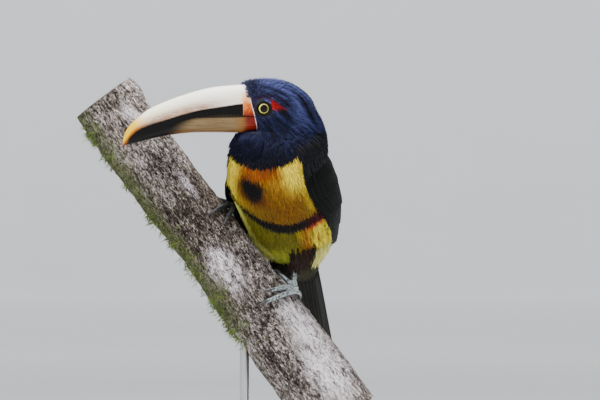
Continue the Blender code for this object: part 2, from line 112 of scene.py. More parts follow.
# %% [markdown]
# ## Camera, light and floor
# The camera stands level, five metres away, with a long lens, so that the bird is seen as through
# a spotting scope. The light is a studio's: one large soft lamp in front, one above, a weak one at
# the side and a pale room. The floor curves up into a wall behind, so that no horizon shows.

# %% camera, lights and room
CAMERA_PLACE = (0.0325, -5.0, 0.2456)
LENS, SENSOR = 350.9, 36
# Each lamp: its place in metres, its size, and its watts.
LAMPS = {
    "key": ((-0.6, -0.85, 1.65), 0.7, 52),
    "top": ((0.2, 0.25, 1.7), 0.7, 44),
    "fill": ((1.4, -1.3, 0.5), 1.2, 5),
}
ROOM_COLOUR, ROOM_STRENGTH = (0.93, 0.96, 1.0, 1), 0.50


def linked(name, data):
    """A new object in the scene."""
    made = bpy.data.objects.new(name, data)
    bpy.context.scene.collection.objects.link(made)
    return made


camera = linked("camera", bpy.data.cameras.new("camera"))
camera.location, camera.rotation_euler = CAMERA_PLACE, (math.radians(90), 0, 0)
camera.data.lens, camera.data.sensor_width = LENS, SENSOR
bpy.context.scene.camera = camera
for name, (place, size, watts) in LAMPS.items():
    lamp = bpy.data.lights.new(name, "AREA")
    lamp.size, lamp.energy = size, watts
    light = linked(name, lamp)
    light.location = place
    light.rotation_euler = (TRUNK - Vector(place)).to_track_quat("-Z", "Y").to_euler()
world = bpy.data.worlds.new("studio")
world.use_nodes = True
room = world.node_tree.nodes["Background"].inputs
room["Color"].default_value, room["Strength"].default_value = ROOM_COLOUR, ROOM_STRENGTH
bpy.context.scene.world = world
print("camera", round(camera.data.lens), "mm lens,", len(LAMPS), "lights")

# %% [markdown]
# ## Materials as sums
# A material in Blender is a net of nodes. Wires are quicker to read as sums, so one small class
# wraps a socket and turns Python's operators into Math nodes. Another holds one material: it has a
# single method that adds any node, a few short names for the common ones, and the shader at the
# end. Colours never go through Math nodes, which would turn them grey.


# %% one class for a wire and one for a material
class Wire:
    """A node's output. Operators on it add Math nodes to its material."""

    def __init__(self, look, socket):
        self.look, self.socket = look, socket

    def math(self, operation, *others):
        return self.look.math(operation, self, *others)

    def __neg__(self):
        return self * -1

    def __abs__(self):
        return self.math("ABSOLUTE")

    def least(self, other):
        return self.math("MINIMUM", other)

    def most(self, other):
        return self.math("MAXIMUM", other)

    def rise(self, low, high):
        """0 below low, 1 above high, and a smooth step between. It falls if low is above high."""
        steps = {"interpolation_type": "SMOOTHSTEP"}
        return self.look.node("ShaderNodeMapRange", steps, [self, low, high, 0, 1])

    def within(self, low, high, soft):
        """1 between low and high, 0 outside, and soft at both ends."""
        return self.rise(low - soft, low + soft) * self.rise(high + soft, high - soft)

    def curve(self, powers):
        """A polynomial of this value, given its numbers from the highest power down."""
        total = powers[0]
        for number in powers[1:]:
            total = self * total + number
        return total


def teach_operator(name, operation):
    """Gives wires one of Python's operators, with the wire on either side of it."""
    setattr(Wire, f"__{name}__", lambda wire, other: wire.look.math(operation, wire, other))
    setattr(Wire, f"__r{name}__", lambda wire, other: wire.look.math(operation, other, wire))


for name, operation in {
    "add": "ADD", "sub": "SUBTRACT", "mul": "MULTIPLY", "truediv": "DIVIDE", "pow": "POWER"
}.items():
    teach_operator(name, operation)


class Look:
    """A material that is being made."""

    def __init__(self, name, roughness=0.5, **fixed):
        self.material = bpy.data.materials.new(name)
        self.material.use_nodes = True
        self.tree = self.material.node_tree
        self.shader = self.tree.nodes["Principled BSDF"]
        self.shader.inputs["Roughness"].default_value = roughness
        for key, value in fixed.items():
            self.shader.inputs[key.replace("_", " ").title().replace("Ior", "IOR")].default_value = value

    def node(self, kind, settings=None, inputs=(), output=0):
        """Adds any node: its type, its settings, and the values or wires of its sockets."""
        made = self.tree.nodes.new(kind)
        for key, value in (settings or {}).items():
            setattr(made, key, value)
        for key, value in inputs.items() if isinstance(inputs, dict) else enumerate(inputs):
            socket = made.inputs[key]
            if isinstance(value, Wire):
                self.tree.links.new(value.socket, socket)
            else:
                colour = socket.type == "RGBA" and len(value) == 3
                socket.default_value = (*value, 1) if colour else value
        return Wire(self, made.outputs[output])

    def math(self, operation, *values):
        return self.node("ShaderNodeMath", {"operation": operation}, values)

    def vector_math(self, operation, inputs, output=0):
        return self.node("ShaderNodeVectorMath", {"operation": operation}, inputs, output)

    def place(self):
        return self.node("ShaderNodeTexCoord", output="Object")

    def attribute(self, name):
        return self.node("ShaderNodeAttribute", {"attribute_name": name}, output="Vector")

    def parts(self, vector):
        """The three numbers of a vector."""
        split = self.node("ShaderNodeSeparateXYZ", inputs=[vector])
        return [Wire(self, socket) for socket in split.socket.node.outputs]

    def dot(self, vector, axis):
        return self.vector_math("DOT_PRODUCT", [vector, tuple(axis)], "Value")

    def axes(self, place, origin, *ways):
        """How far a place is from an origin, in millimetres, along some directions."""
        moved = self.vector_math("SUBTRACT", [place, tuple(origin)])
        return [self.dot(moved, way) * (1 / MM) for way in ways]

    def vector(self, x, y, z):
        return self.node("ShaderNodeCombineXYZ", inputs=[x, y, z])

    def noise(self, vector, scale, detail=3.0, roughness=0.55):
        inputs = {"Vector": vector, "Scale": scale, "Detail": detail, "Roughness": roughness}
        return self.node("ShaderNodeTexNoise", inputs=inputs)

    def grain(self, x, y, z, detail=3.0, roughness=0.55):
        """Noise in a space of its own, so that it can be stretched or bent."""
        return self.noise(self.vector(x, y, z), 1.0, detail, roughness)

    def blend(self, share, first, second):
        """A colour between first and second, by share."""
        inputs = {0: share, 6: first, 7: second}
        return self.node("ShaderNodeMix", {"data_type": "RGBA"}, inputs, output=2)

    def over(self, colour, *layers):
        """A colour under layers of paint, each given as its share and its own colour."""
        for share, paint in layers:
            colour = self.blend(share, colour, paint)
        return colour

    def ramp(self, share, *stops):
        wire = self.node("ShaderNodeValToRGB", inputs=[share])
        elements = wire.socket.node.color_ramp.elements
        while len(elements) < len(stops):
            elements.new(0.5)
        for element, (place, colour) in zip(elements, stops):
            element.position, element.color = place, (*colour, 1)
        return wire

    def scaled(self, colour, share):
        """A colour made darker or lighter by a wire."""
        return self.vector_math("SCALE", {"Vector": colour, "Scale": share})

    def bump(self, height, distance, strength=1.0):
        inputs = {"Height": height, "Distance": distance, "Strength": strength}
        return self.node("ShaderNodeBump", inputs=inputs)

    def finish(self, **wires):
        """Links the shader's own inputs, and gives the material."""
        for key, wire in wires.items():
            self.tree.links.new(wire.socket, self.shader.inputs[key.replace("_", " ").title()])
        return self.material


print("node helpers ready")

# %% [markdown]
# The floor is plain and pale. It still gets a material with a very faint unevenness, as matt paint
# has. It does not ride on the model, so it isn't part of the bird.

# %% floor
FLOOR_RADIUS, WALL_BEND, WALL_HEIGHT = 9.5, 0.9, 1.8
FLOOR_SEGMENTS, BEND_STEPS = 72, 9


def studio_floor():
    """A flat round floor that curves up into a low wall, far behind whoever looks."""
    profile = [(0.01, 0.0), (3.0, 0.0)]
    for t in np.linspace(0, math.pi / 2, BEND_STEPS):
        profile.append((FLOOR_RADIUS + WALL_BEND * math.sin(t), WALL_BEND * (1 - math.cos(t))))
    profile.append((FLOOR_RADIUS + WALL_BEND, WALL_HEIGHT))
    turns = np.linspace(0, 2 * math.pi, FLOOR_SEGMENTS, endpoint=False)
    points = [(r * math.cos(t), r * math.sin(t), z) for r, z in profile for t in turns]
    faces = [tuple(range(FLOOR_SEGMENTS))]
    for low in range(0, (len(profile) - 1) * FLOOR_SEGMENTS, FLOOR_SEGMENTS):
        high = low + FLOOR_SEGMENTS
        for i in range(FLOOR_SEGMENTS):
            j = (i + 1) % FLOOR_SEGMENTS
            faces.append((low + i, high + i, high + j, low + j))
    mesh = bpy.data.meshes.new("studio_floor")
    mesh.from_pydata(points, [], faces)
    mesh.shade_smooth()
    look = Look("studio_paint", roughness=0.9, emission_strength=0.52, specular_ior_level=0.1)
    mottle = look.noise(look.place(), 3.0)
    paint = look.ramp(mottle, (0.3, (0.78, 0.79, 0.80)), (0.7, (0.81, 0.82, 0.83)))
    x, y, z = look.parts(look.place())
    glow = look.scaled(paint, ((x**2 + y**2) ** 0.5).rise(1.0, 4.5))
    mesh.materials.append(look.finish(base_color=paint, emission_color=glow))
    linked("studio_floor", mesh)


studio_floor()
print("floor and wall in place")

# %% [markdown]
# ## Meshes from arrays
# Thousands of feathers are too many to make by hand. NumPy works out all their points at once, and
# one helper turns points and faces into a piece that rides on the model and may stand for some of
# the frame's solids.


# %% helpers for pieces and arrays
def vec(vector):
    return np.array(vector, float)


def unit(vectors):
    return vectors / np.maximum(np.linalg.norm(vectors, axis=-1, keepdims=True), 1e-12)


def smooth_step(value, low, high):
    t = np.clip((value - low) / (high - low), 0, 1)
    return t * t * (3 - 2 * t)


def between(pair, share):
    return pair[0] + (pair[1] - pair[0]) * share


def share_of_line(points, start, end):
    """How far along a line points are, as shares of it, and how far from it they are."""
    step = vec(end) - vec(start)
    share = np.clip((points - vec(start)) @ step / (step @ step), 0, 1)
    return share, np.linalg.norm(points - vec(start) - share[:, None] * step, axis=1)


def across_axis(points, axis):
    """The part of vectors that is square to an axis."""
    return points - np.outer(points @ vec(axis), vec(axis))


def dress(name, mesh, material, slot, replaces=()):
    """Makes a piece of a mesh, rides it on the model and hides the frame's solids that it stands for."""
    mesh.materials.clear()
    mesh.materials.append(material)
    mesh.shade_smooth()
    made = linked(name, mesh)
    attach(made, "root")
    if replaces:
        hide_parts(*replaces)
    print(f"{name}: {sum(len(p.vertices) - 2 for p in mesh.polygons):,} triangles")
    return made


def add_piece(name, points, faces, *finish):
    mesh = bpy.data.meshes.new(name)
    mesh.from_pydata(points, [], faces)
    return dress(name, mesh, *finish)


def set_points(mesh, points):
    mesh.vertices.foreach_set("co", points.astype(np.float32).ravel())
    mesh.update()


def set_attribute(mesh, name, vectors):
    made = mesh.attributes.new(name, "FLOAT_VECTOR", "POINT")
    made.data.foreach_set("vector", np.asarray(vectors, np.float32).ravel())


def set_map(mesh, places):
    """The map that colours are baked to, from one place for each point."""
    corners = np.empty(len(mesh.loops), np.int32)
    mesh.loops.foreach_get("vertex_index", corners)
    made = mesh.uv_layers.new(name="OFBake")
    made.data.foreach_set("uv", np.clip(places, 0.001, 0.999)[corners].astype(np.float32).ravel())


def mesh_arrays(mesh):
    """A mesh's points and normals."""
    found = []
    for items, key in ((mesh.vertices, "co"), (mesh.vertex_normals, "vector")):
        flat = np.empty(len(items) * 3, np.float32)
        items.foreach_get(key, flat)
        found.append(flat.reshape(-1, 3).astype(float))
    return found


print("array helpers ready")

# %% [markdown]
# ## The markings
# Skin and feathers carry the same pattern, so it is written once, for a place on the body. A
# feather passes the one place where it shows, and so keeps one colour however long it is, which
# gives the pattern the ragged edges of real plumage. The places are measured in the trunk's axes:
# how far along it, and the angle round it from the middle of the belly, with plus on the bird's
# left. The head's marks are measured from the middle of the bill's base.

# %% where the markings lie
# Angle round the body in degrees against place along it in millimetres, left plus.
HOOD_EDGE = (
    (-110, 44), (-85, 45.5), (-64, 48.5), (-50, 50.5), (-37, 49.5), (-13, 47.6), (16, 46.6),
    (39, 45.6), (56, 48), (110, 56)
)
BAND_MIDDLE = (
    (-75, 18), (-50, 18), (-32, 14), (-19, 4.5), (-10, 0.6), (0, -3.6), (15, -7.2), (33, -9.6),
    (46, -10), (64, -7.6), (85, -6)
)
SPOT = (29.4, -4.0, 8.8, 12.6, 30)  # along, side, half its size each way, and its slope
COMB_TILT = (0.80, 0.60)  # how far back, and how far up, the middle of the comb lies
THIGHS = {
    "left": (body_point(-37, 20, -24), body_point(-56, 9, -26)),
    "right": (body_point(-28, -18, -14), body_point(-22, -40, -16)),
}
# Place along the body against the angle where the wing starts.
WING_EDGE = (
    (-50, 97), (-44, 89), (-35, 83), (-29, 80.5), (-18, 77.5), (-10, 71.5), (-3, 64.5), (5, 59.5),
    (14, 58.5), (21, 58.5), (29, 59), (36, 60.5), (43, 63), (54, 68), (62, 73)
)
BLACK = (0.0040, 0.0040, 0.0075)
INK = (0.0040, 0.0035, 0.0035)
NAVY_SHEEN = (0.015, 0.020, 0.070)
CROWN_SHEEN_BLUE = (0.088, 0.104, 0.285)
LEMON = (0.74, 0.58, 0.040)
WARM_LEMON = (0.50, 0.34, 0.016)
SHADED_GOLD = (0.330, 0.165, 0.007)
SHADED_DEEP_GOLD = (0.110, 0.070, 0.004)
TAWNY = (0.150, 0.050, 0.002)
RUST = (0.22, 0.042, 0.004)
SCARLET = (0.36, 0.008, 0.008)
OLIVE = (0.110, 0.098, 0.004)
FRESH_GREEN = (0.50, 0.52, 0.050)
PALE = (0.70, 0.68, 0.14)
TUFT = (0.54, 0.51, 0.085)
CHESTNUT = (0.014, 0.007, 0.006)
VENT_SHADE = (0.020, 0.019, 0.008)
MANTLE = (0.0060, 0.0085, 0.0085)


def fitted(stations, degree=5):
    """A polynomial through stations, for angles counted in units of 60 degrees."""
    angles, places = np.array(stations, float).T
    return [float(number) for number in np.polyfit(angles / 60, places, degree)]


def body_axes(look, place):
    """Along, side, back and the angle round, of a place in a material."""
    along, side, back = look.axes(place, TRUNK, ALONG, SIDE, BACK)
    return along, side, back, side.math("ARCTAN2", -back) * math.degrees(1)


def head_axes(look, place=None):
    return look.axes(place or look.place(), BILL_BASE, HEAD_FORWARD, HEAD_LEFT, UP)


def distance_to_line(look, place, start, end):
    """How far a place is from the line between two points, in millimetres."""
    line = end - start
    from_start = look.vector_math("SUBTRACT", [place, tuple(start)])
    share = (look.dot(from_start, line) / line.length_squared).most(0).least(1)
    foot = look.vector_math("SCALE", {"Vector": tuple(line), "Scale": share})
    return look.vector_math("DISTANCE", [from_start, foot], "Value") * (1 / MM)


def combed(look, forward, left, up, fineness=11):
    """Streaks that run from the bill's base over the crown to the nape, in the head's own axes."""
    ahead, above = forward - 6, up + 1
    turn = left.math("ARCTAN2", ahead * -COMB_TILT[0] + above * COMB_TILT[1])
    far = (ahead**2 + above**2 + left**2) ** 0.5
    return look.grain(far * 0.045, turn * fineness, 0.0, roughness=0.6)


def breast_colour(look, along, angle, streak):
    """Lemon at both sides and golden between, deeper and tawny lower down, rusty under the hood; the golds
    carry painted shade.
    """
    tawny = along.within(-10, 27, 9) * angle.within(-2, 50, 12) * streak.rise(0.22, 0.60)
    under_hood = along.within(37, 60, 4.0) * angle.within(-20, 34, 10) * streak.rise(0.30, 0.54)
    lower_edge = along.within(-12, 10, 5) * angle.within(-60, 12, 12) * streak.rise(0.60, 0.36)
    return look.over(
        LEMON,
        # Gold between the sides and deeper gold lower down: partly the breast's own deeper tone, partly
        # painted shade.
        (angle.rise(-46, -16), SHADED_GOLD),
        (along.rise(38, 4) * angle.rise(-52, -30) * 0.75, SHADED_DEEP_GOLD),
        (angle.rise(28, 44) * along.rise(12, 32), LEMON),
        (angle.rise(48, 60) * along.rise(-4, 10) * 0.65, WARM_LEMON),
        (tawny * 0.8, TAWNY),
        (under_hood * 0.95, RUST),
        (lower_edge * 0.7, OLIVE),
    )


def belly_colour(look, along, angle, streak):
    """Olive in the middle, pale at the bird's right, orange and lemon streaks at its left."""
    right_rim = (angle - along.rise(-12, -38) * 17 + (streak - 0.5) * 10).rise(-28, -44)
    left_side = look.blend(streak.rise(0.42, 0.58), (0.36, 0.24, 0.010), (0.22, 0.075, 0.003))
    return look.over(
        OLIVE,
        (angle.rise(28, 44), left_side),
        (angle.rise(49, 59) * streak.rise(0.66, 0.50), (0.60, 0.50, 0.026)),
        (along.rise(-24, -42) * angle.rise(34, 6) * 0.85, FRESH_GREEN),
        (right_rim, PALE),
        (along.rise(-35, -42) * abs(angle).rise(60, 70), TUFT),
    )


def thigh_marks(look, place, along, angle, streak, ragged, band):
    """The shares of the dark patches at the left and the right thigh; the right one is partly painted shade.
    """
    edge = ragged * 1.4 + (look.noise(place, 150, detail=1.0) - 0.5) * 9
    left = distance_to_line(look, place, *THIGHS["left"]) - (along + 37) * 0.19 + (streak - 0.5) * 16
    top = along + (streak - 0.5) * 22 + edge * 0.6
    right = distance_to_line(look, place, *THIGHS["right"]) + edge
    return (
        (left + edge).rise(12.0, 9.0) * top.rise(-31, -36),
        # The right patch is partly the dark thigh and partly painted shade of the belly beside the right leg.
        right.rise(13, 5) * angle.rise(-38, -54) * band.rise(-2, -5) * 0.85,
    )


def spot_distance(along, side):
    """1 at the edge of the breast's spot, a tilted oval, and 0 at its middle."""
    spot_along, spot_side, half_along, half_side, slope = SPOT
    above, beside = along - spot_along, side - spot_side
    sin, cos = math.sin(math.radians(slope)), math.cos(math.radians(slope))
    up_it, over_it = (above * cos + beside * sin) / half_along, (beside * cos - above * sin) / half_side
    return (up_it**2 + over_it**2) ** 0.5


def plumage_colour(look, place):
    """The colour of the skin, or of a feather that shows, at a place."""
    along, side, back, angle = body_axes(look, place)
    turn, ventral = angle / 60, back.rise(-10, -25)
    ragged = (look.noise(place, 520, detail=2.0) - 0.5) * 3.0
    streak = look.grain(along * 0.045, angle * 0.30, 0.0, roughness=0.6)
    lines = look.grain(along * 0.08, angle * 0.85, 3.0, roughness=0.65).rise(0.30, 0.70) * 0.70 + 0.68
    breast, belly = (
        look.scaled(colour(look, along, angle, streak), lines) for colour in (breast_colour, belly_colour)
    )
    band = along - turn.least(1.35).most(-1.2).curve(fitted(BAND_MIDDLE))
    inked = (abs(band + ragged * 0.2) - (angle.rise(-34, 12) * 1.9 + 2.9)).rise(0.8, -0.8)
    red_end = angle.rise(40, 56) * (abs(band + 3.0) - 4.5).rise(2.0, -2.0)
    spot = spot_distance(along, side) + (look.noise(place, 95, detail=1.0) - 0.5) * 0.9
    left_thigh, right_thigh_and_shade = thigh_marks(look, place, along, angle, streak, ragged, band)
    edge = (along / 60).curve(fitted(WING_EDGE, 4)) + angle.rise(10, -10) * along.rise(12, 30) * 13
    wing = (abs(angle) - edge).rise(-1.0, 1.0) * along.rise(-50, -46)
    dark = wing.most(abs(angle).rise(92, 100))
    colour = look.over(
        breast,
        (band.rise(1.0, -1.0), belly),
        (red_end * 0.9, SCARLET),
        (inked, look.blend(angle.rise(44, 60), INK, (0.035, 0.002, 0.003))),
        ((spot + (streak - 0.5) * 1.2).rise(1.75, 0.9) * ventral * 0.85, (0.10, 0.026, 0.003)),
        ((spot + ragged * 0.07).rise(1.18, 0.72) * ventral, INK),
        (left_thigh, CHESTNUT),
        (right_thigh_and_shade, CHESTNUT),
        (dark, MANTLE),
        (along.rise(-24, -32) * abs(angle).rise(124, 132), SCARLET),
    )
    above_edge = along + ragged * 0.8 - turn.least(1.83).most(-1.83).curve(fitted(HOOD_EDGE))
    behind = (dark * along.rise(8, 24) - 0.5) * 2
    return hood_colour(look, colour, above_edge.most(behind), *head_axes(look, place))


def hood_colour(look, colour, above_edge, forward, left, up):
    """Puts the black hood, its blue comb of streaks as painted sheen, and the red mark behind the eye, over a
    colour.
    """
    comb = combed(look, forward, left, up)
    lines = combed(look, forward, left, up, 34).rise(0.36, 0.60) * 0.85 + 0.32
    # Painted highlight: the blue sheen is a painted reflection, brightest on the crown and nape and fading
    # lower down, as if lit from above.
    nape = up.rise(-30, 0) * forward.rise(-26, -38) * 0.7
    crown = up.rise(-12, 10).most(nape) * (forward.rise(-4, -12) * 0.75 + 0.25)
    behind_eye = forward.within(-31, -22, 3) * up.within(1, 8, 3) * 0.7
    hood = look.over(
        BLACK,
        (comb.rise(0.32, 0.58) * up.rise(-54, -10), look.scaled(look.blend(crown, NAVY_SHEEN, CROWN_SHEEN_BLUE), lines)),
        (behind_eye.most(forward.rise(-5, -1) * up.rise(9, 13)), BLACK),
    )
    over = up - forward * 0.68 - 17.6 + (comb - 0.5) * 3
    triangle = over.rise(1.0, -1.0) * (up + (comb - 0.5) * 4).rise(-2.4, 0.4) * forward.rise(-13.2, -15.2)
    return look.over(
        colour,
        (above_edge.rise(-0.8, 0.8), hood),
        (triangle * comb.rise(0.22, 0.42), look.blend(forward.rise(-31, -18), (0.20, 0.008, 0.02), SCARLET)),
        (forward.within(-15, 0, 2.0) * up.within(7.8, 11.0, 1.2) * 0.7, (0.040, 0.010, 0.032)),
    )


print("markings: hood, spot, band, thighs, wings, rump, eye mark")


# %% [markdown]
# ## The skin
# One skin stands for all the solids of flesh, so that no seam shows. The solids are copied, swollen
# a little so that they meet, and remeshed into a single body. Then it is smoothed, and drawn in by
# the depth of the coat: three millimetres on the trunk, less on the head, and nothing round the
# eye and at the bill, where the real bird is bare.

# %% the skin
FLESH = ["head", "neck", "trunk", "wing_left", "wing_right", "thigh_left", "thigh_right"]
LEGS = ["tarsus_left", "tarsus_right", "foot_left", "foot_right"]
SWELL = 0.4 * MM


def body_coordinates(points):
    moved = points - vec(TRUNK)
    return [moved @ vec(axis) / MM for axis in (ALONG, SIDE, BACK)]


def head_coordinates(points):
    """How far points are in front of the middle of the bill's base, and above it, in millimetres."""
    moved = points - vec(BILL_BASE)
    return moved @ vec(HEAD_FORWARD) / MM, moved[:, 2] / MM


def behind_rim(points):
    """How far points are behind the slanting rim of the bill, in millimetres."""
    return -(points - vec(BILL_BASE)) @ vec(RIM_NORMAL) / MM


def eye_distance(points):
    """How far points are from the nearer eye's axis, in millimetres."""
    far = [np.linalg.norm(across_axis(points - vec(eye), HEAD_LEFT), axis=1) for eye in EYES.values()]
    return np.minimum(*far) / MM


def coat_depth(points):
    """How deep the feathers are at points, in millimetres."""
    height, behind = points[:, 2] / MM, behind_rim(points)
    depth = 3.0 - 0.9 * smooth_step(height, 292, 322)
    for share in (0.3 + 0.7 * smooth_step(behind, 0.5, 12), smooth_step(eye_distance(points), 6.5, 14)):
        depth = depth * np.where(height > 298, share, 1)
    below_bill = smooth_step(np.abs(height - (BILL_BASE.z / MM - 23)), 9, 3)
    chin = below_bill * smooth_step(behind, 3, -3) * smooth_step(behind, -14, -6)
    nape = smooth_step(behind, 28, 42) * smooth_step(height, 284, 300) * smooth_step(height, 340, 328)
    return (depth - 1.2 * nape) * (1 - chin) - 1.2 * chin


def remeshed(nodes, voxel, smoothing):
    """The nodes' solids, swollen and remeshed into one smooth mesh."""
    bm = bmesh.new()
    for node in nodes:
        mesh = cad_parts[node].data
        verts = [bm.verts.new(v.co) for v in mesh.vertices]
        for face in mesh.polygons:
            bm.faces.new([verts[i] for i in face.vertices])
    bmesh.ops.remove_doubles(bm, verts=bm.verts, dist=1e-6)
    bm.normal_update()
    for vert in bm.verts:
        vert.co += vert.normal * SWELL
    raw = bpy.data.meshes.new("raw_skin")
    bm.to_mesh(raw)
    bm.free()
    helper = linked("raw_skin", raw)
    remesh = helper.modifiers.new("one_body", "REMESH")
    remesh.mode, remesh.voxel_size = "VOXEL", voxel
    soften = helper.modifiers.new("soften", "SMOOTH")
    soften.factor, soften.iterations = 0.5, smoothing
    graph = bpy.context.evaluated_depsgraph_get()
    made = bpy.data.meshes.new_from_object(helper.evaluated_get(graph))
    bpy.data.objects.remove(helper)
    return made


skin_mesh = remeshed(FLESH, 1.3 * MM, 9)
points, normals = mesh_arrays(skin_mesh)
set_points(skin_mesh, points - normals * (coat_depth(points)[:, None] * MM + SWELL))
print("skin:", len(skin_mesh.vertices), "points")

# %% [markdown]
# Round the eye the skin of a toucan is bare, dark and finely wrinkled, and two lids close on the
# eyeball like a purse. The skin's faces are split there until they are fine enough, and each point
# is then moved out or in by a profile of its distance from the eye's axis: under the eyeball in
# the middle, up over its edge as a rolled lid, and then two shallow folds.

# %% the eyelids
# Distance from the eye's axis against height over the eye's middle, in millimetres.
LID_PROFILE = (
    (0, 2.4), (3.7, 3.2), (4.2, 4.15), (4.45, 4.85), (4.9, 5.22), (5.5, 5.05), (5.95, 4.62),
    (6.5, 4.86), (7.1, 4.62), (7.8, 4.74), (8.8, 4.55)
)
LID_REACH, LID_HEIGHT = 9.6, 4.7


def refine_near(mesh, centre, reach, rounds):
    """Splits the faces near a place."""
    bm = bmesh.new()
    bm.from_mesh(mesh)
    for k in range(rounds):
        limit = reach * (1 - 0.12 * k)
        near = [f for f in bm.faces if (f.calc_center_median() - centre).length < limit]
        edges = list({edge for face in near for edge in face.edges})
        bmesh.ops.subdivide_edges(bm, edges=edges, cuts=1, use_grid_fill=True, smooth=0)
    bm.to_mesh(mesh)
    bm.free()


def shape_lids(mesh, eye, outward):
    """Moves the skin round one eye to the lids' profile."""
    points, _ = mesh_arrays(mesh)
    moved = points - vec(eye)
    height, across = moved @ vec(outward), across_axis(moved, outward)
    far = np.linalg.norm(across, axis=1) / MM
    turn = np.arctan2(across @ vec(UP), across @ vec(HEAD_FORWARD))
    wrinkle = 0.09 * np.sin(turn * 23 + 2.5 * np.sin(3 * turn)) * smooth_step(far, 4.6, 5.6)
    profile = np.interp(far, *np.array(LID_PROFILE).T) + wrinkle
    share = smooth_step(far, LID_REACH, 7.2) * (height > 0)
    tilt = np.clip(np.where(far > 5, height / MM, LID_HEIGHT), 3.9, 5.2) - LID_HEIGHT
    wanted = profile * MM + tilt * MM * smooth_step(far, 5, 8)
    set_points(mesh, points + np.outer((wanted - height) * share, vec(outward)))


smooth_surface, smooth_normals = mesh_arrays(skin_mesh)
skin_faces = [tuple(p.vertices) for p in skin_mesh.polygons]
SKIN_TREE = BVHTree.FromPolygons([Vector(p) for p in smooth_surface], skin_faces)
for side, eye in EYES.items():
    refine_near(skin_mesh, eye + OUTWARD[side] * LID_HEIGHT * MM, 11 * MM, 2)
    shape_lids(skin_mesh, eye, OUTWARD[side])
print("lids shaped,", len(skin_mesh.vertices), "points")

# %% [markdown]
# ## How feathers lie
# Every feather points away from the bill and towards the tail. On the head that direction starts
# at the bill's base and falls with the nape and the throat, and on the trunk it is simply along the
# body. A feather is laid by stepping over the skin: take the direction, keep the part of it that is
# in the surface, make a step, and go back to the nearest place on the skin.

# %% the lie of the plumage
LIE_SOURCE = vec(BILL_BASE + HEAD_FORWARD * 6 * MM - UP * 1 * MM)
FALL = 0.55  # how strongly the head's feathers fall
FOUR_CORNERS = np.array([f if len(f) == 4 else (*f, f[0]) for f in skin_faces])
FACE_NORMALS = unit(smooth_normals[FOUR_CORNERS].sum(axis=1))


def lie(points, normals):
    """The way that feathers point at places on the skin."""
    away = unit(points - LIE_SOURCE)
    away[:, 2] -= FALL
    on_body = smooth_step(points[:, 2] / MM, 312, 284)[:, None]
    wanted = unit(away) * (1 - on_body) - vec(ALONG) * on_body
    return unit(wanted - normals * np.sum(wanted * normals, axis=1, keepdims=True))


def on_skin(points):
    """The nearest places on the skin, and its normals there."""
    found = [SKIN_TREE.find_nearest(point) for point in points]
    return np.array([hit[0] for hit in found], float), FACE_NORMALS[[hit[2] for hit in found]]


def loose(points):
    """Places as they are, or on the skin for those that would be in it, and the skin's normals."""
    places, normals = on_skin(points)
    outside = np.sum((points - places) * normals, axis=1, keepdims=True) > 0
    return np.where(outside, points, places), normals


def scattered(spacing, seed, keep):
    """Roots spread over the skin, about spacing millimetres apart, where keep is true."""
    rng = np.random.default_rng(seed)
    a, b, c = (smooth_surface[np.array([f[k] for f in skin_faces])] for k in range(3))
    area = np.linalg.norm(np.cross(b - a, c - a), axis=1)
    wanted = int(area.sum() / (spacing * MM) ** 2 * 5)
    face = rng.choice(len(area), wanted, p=area / area.sum())
    share = rng.random((wanted, 2))
    points = a[face] + (b[face] - a[face]) * share[:, :1] + (c[face] - b[face]) * share[:, 1:]
    points = points[keep(points)]
    cell = np.floor(points / (spacing * MM)).astype(int)
    _, chosen = np.unique(cell, axis=0, return_index=True)
    return points[np.sort(chosen)]


def spread_out(directions, normals, degrees):
    """Turns directions about their normals."""
    turn = np.radians(degrees)[:, None]
    return directions * np.cos(turn) + np.cross(normals, directions) * np.sin(turn)


print("lie of the plumage ready")

# %% [markdown]
# Body feathers of a toucan look like hair: narrow, soft and loose at the tip. Each one here is a
# lock, a thin closed blade with three edges that tapers to a point, with its root in the skin and
# its tip at the coat's surface. A piece holds thousands, and each keeps the place where it shows
# for the pattern, and where a point is on the blade for fine streaks. Its patch of the map lies at
# the root's place on an unwrap of the body: round it, and along a line from vent to crown.

# %% locks of feathers
SPINE = [body_point(-75, 0, 0), body_point(0, 0, 0)]
SPINE += [Vector(p) * MM for p in ((15.5, -17, 285), (12, -21.5, 322), (12, -21.5, 360))]
PATCH = 0.003  # a lock's size on the map


def unwrapped(points):
    """Places on an unwrap of the body: the angle round its line from vent to crown, and along it."""
    line = np.array([a.lerp(b, t) for a, b in zip(SPINE, SPINE[1:]) for t in np.linspace(0, 1, 24)])
    nearest = np.argmin(np.linalg.norm(points[:, None] - line[None], axis=2), axis=1)
    nearest = np.clip(nearest, 1, len(line) - 2)
    forward = unit(line[nearest + 1] - line[nearest - 1])
    moved = points - line[nearest]
    length = np.sum(moved * forward, axis=1) / (8 * MM)
    across = unit(vec(SIDE) - forward * (forward @ vec(SIDE))[:, None])
    back = np.cross(forward, across)
    angle = np.arctan2(np.sum(moved * across, axis=1), -np.sum(moved * back, axis=1))
    shares = [angle / (2 * math.pi) + 0.5, np.clip((nearest + length) / len(line), 0, 1)]
    return 0.02 + 0.96 * np.stack(shares, axis=1)


def blades(centre, sideways, upward, half, crest):
    """Points of blades: rings with three edges along each middle line, and its end as the tip."""
    ring = np.stack([centre - sideways * half, centre + sideways * half, centre + upward * crest], axis=2)
    return np.concatenate([ring[:, :-1].reshape(len(centre), -1, 3), centre[:, -1:]], axis=1)


def blade_faces(count, stations):
    """Faces of count blades, each of three-edged rings and a tip."""
    size, last = 3 * (stations - 1) + 1, 3 * (stations - 2)
    sides = ((0, 1), (1, 2), (2, 0))
    quads = [(k + a, k + b, k + 3 + b, k + 3 + a) for k in range(0, last, 3) for a, b in sides]
    tris = [(0, 2, 1)] + [(last + a, last + b, size - 1) for a, b in sides]
    starts = np.arange(count)[:, None, None] * size
    faces = []
    for kind in (quads, tris):
        faces += (np.array(kind) + starts).reshape(-1, len(kind[0])).tolist()
    return faces


